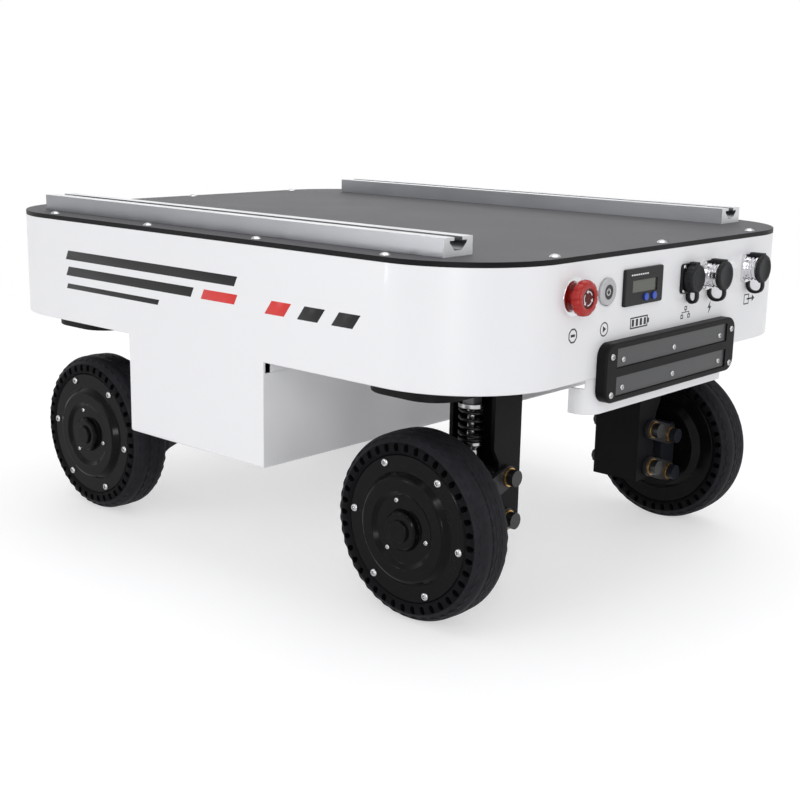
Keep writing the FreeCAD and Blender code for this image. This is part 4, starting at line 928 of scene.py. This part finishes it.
def make_camera():
    data = bpy.data.cameras.new("camera")
    data.lens = CAMERA_LENS
    data.sensor_width = 36
    data.shift_x = CAMERA_SHIFT
    heading, dip, roll = (math.radians(a) for a in (CAMERA_HEADING, CAMERA_DIP, CAMERA_ROLL))
    bpy.context.scene.camera = place_object("camera", data, (
        Matrix.Translation(CAMERA_PLACE) @ Matrix.Rotation(heading, 4, "Z")
        @ Matrix.Rotation(math.pi / 2 - dip, 4, "X") @ Matrix.Rotation(roll, 4, "Z")))


def seen_directly(tree):
    """1 for a ray from the camera, a mirror or glass, and 0 for one that carries light."""
    path = add(tree, "LightPath")
    most = add(tree, "Math", {0: path.outputs["Is Camera Ray"], 1: path.outputs["Is Glossy Ray"]},
               operation="MAXIMUM")
    return add(tree, "Math", {0: most.outputs[0], 1: path.outputs["Is Transmission Ray"]},
               operation="MAXIMUM").outputs[0]


def floor_shader(tree, grey, glow=0.0):
    """A matt shader of this grey that gives off some light of its own."""
    return add(tree, "BsdfPrincipled", {
        "Base Color": (grey, grey, grey, 1), "Roughness": 0.7, "Specular IOR Level": 0.2,
        "Emission Color": (1, 1, 1, 1), "Emission Strength": glow}).outputs[0]


def make_floor():
    """A pale floor that keeps the object's shadow and fades into the white background. Only rays
    that see it directly find it brighter than the light on it, so it lights the object no more."""
    mesh = bpy.data.meshes.new("floor")
    work = bmesh.new()
    bmesh.ops.create_circle(work, cap_ends=True, radius=FLOOR_RADIUS, segments=96)
    work.to_mesh(mesh)
    work.free()
    material, tree, output = blank_material("floor")
    place = add(tree, "TexCoord").outputs["Object"]
    reach = add(tree, "VectorMath", {0: place}, operation="LENGTH").outputs["Value"]
    near = add(tree, "MapRange", {
        "Value": reach, "From Min": FLOOR_FADE[0], "From Max": FLOOR_FADE[1], "To Min": 1.0,
        "To Max": 0.0}, interpolation_type="SMOOTHSTEP").outputs["Result"]
    lit = add(tree, "MixShader", {0: seen_directly(tree), 1: floor_shader(tree, 0.9),
                                  2: floor_shader(tree, 0.55, glow=0.52)})
    clear = add(tree, "BsdfTransparent")
    mixed = add(tree, "MixShader", {0: near, 1: clear.outputs[0], 2: lit.outputs[0]})
    tree.links.new(mixed.outputs[0], output.inputs["Surface"])
    mesh.materials.append(material)
    place_object("floor", mesh)


def make_world():
    """A pale light all round, seen as plain white."""
    world = bpy.data.worlds.new("studio")
    bpy.context.scene.world = world
    world.use_nodes = True
    tree = world.node_tree
    tree.nodes.clear()
    light = add(tree, "Background", {"Color": (0.94, 0.95, 1.0, 1), "Strength": 0.50})
    white = add(tree, "Background", {"Color": (1, 1, 1, 1), "Strength": 1.0})
    mixed = add(tree, "MixShader", {0: seen_directly(tree), 1: light.outputs[0],
                                    2: white.outputs[0]})
    output = tree.nodes.new("ShaderNodeOutputWorld")
    tree.links.new(mixed.outputs[0], output.inputs["Surface"])


def make_lamp(name, place, size, power, aim):
    data = bpy.data.lights.new(name, "AREA")
    data.shape = "RECTANGLE"
    data.size, data.size_y = size
    data.energy = power
    place_object(name, data, facing(place, Vector(place) - Vector(aim)))


make_camera()
make_floor()
make_world()
for lamp in LAMPS:
    make_lamp(*lamp)
bpy.context.scene.view_settings.view_transform = "Standard"
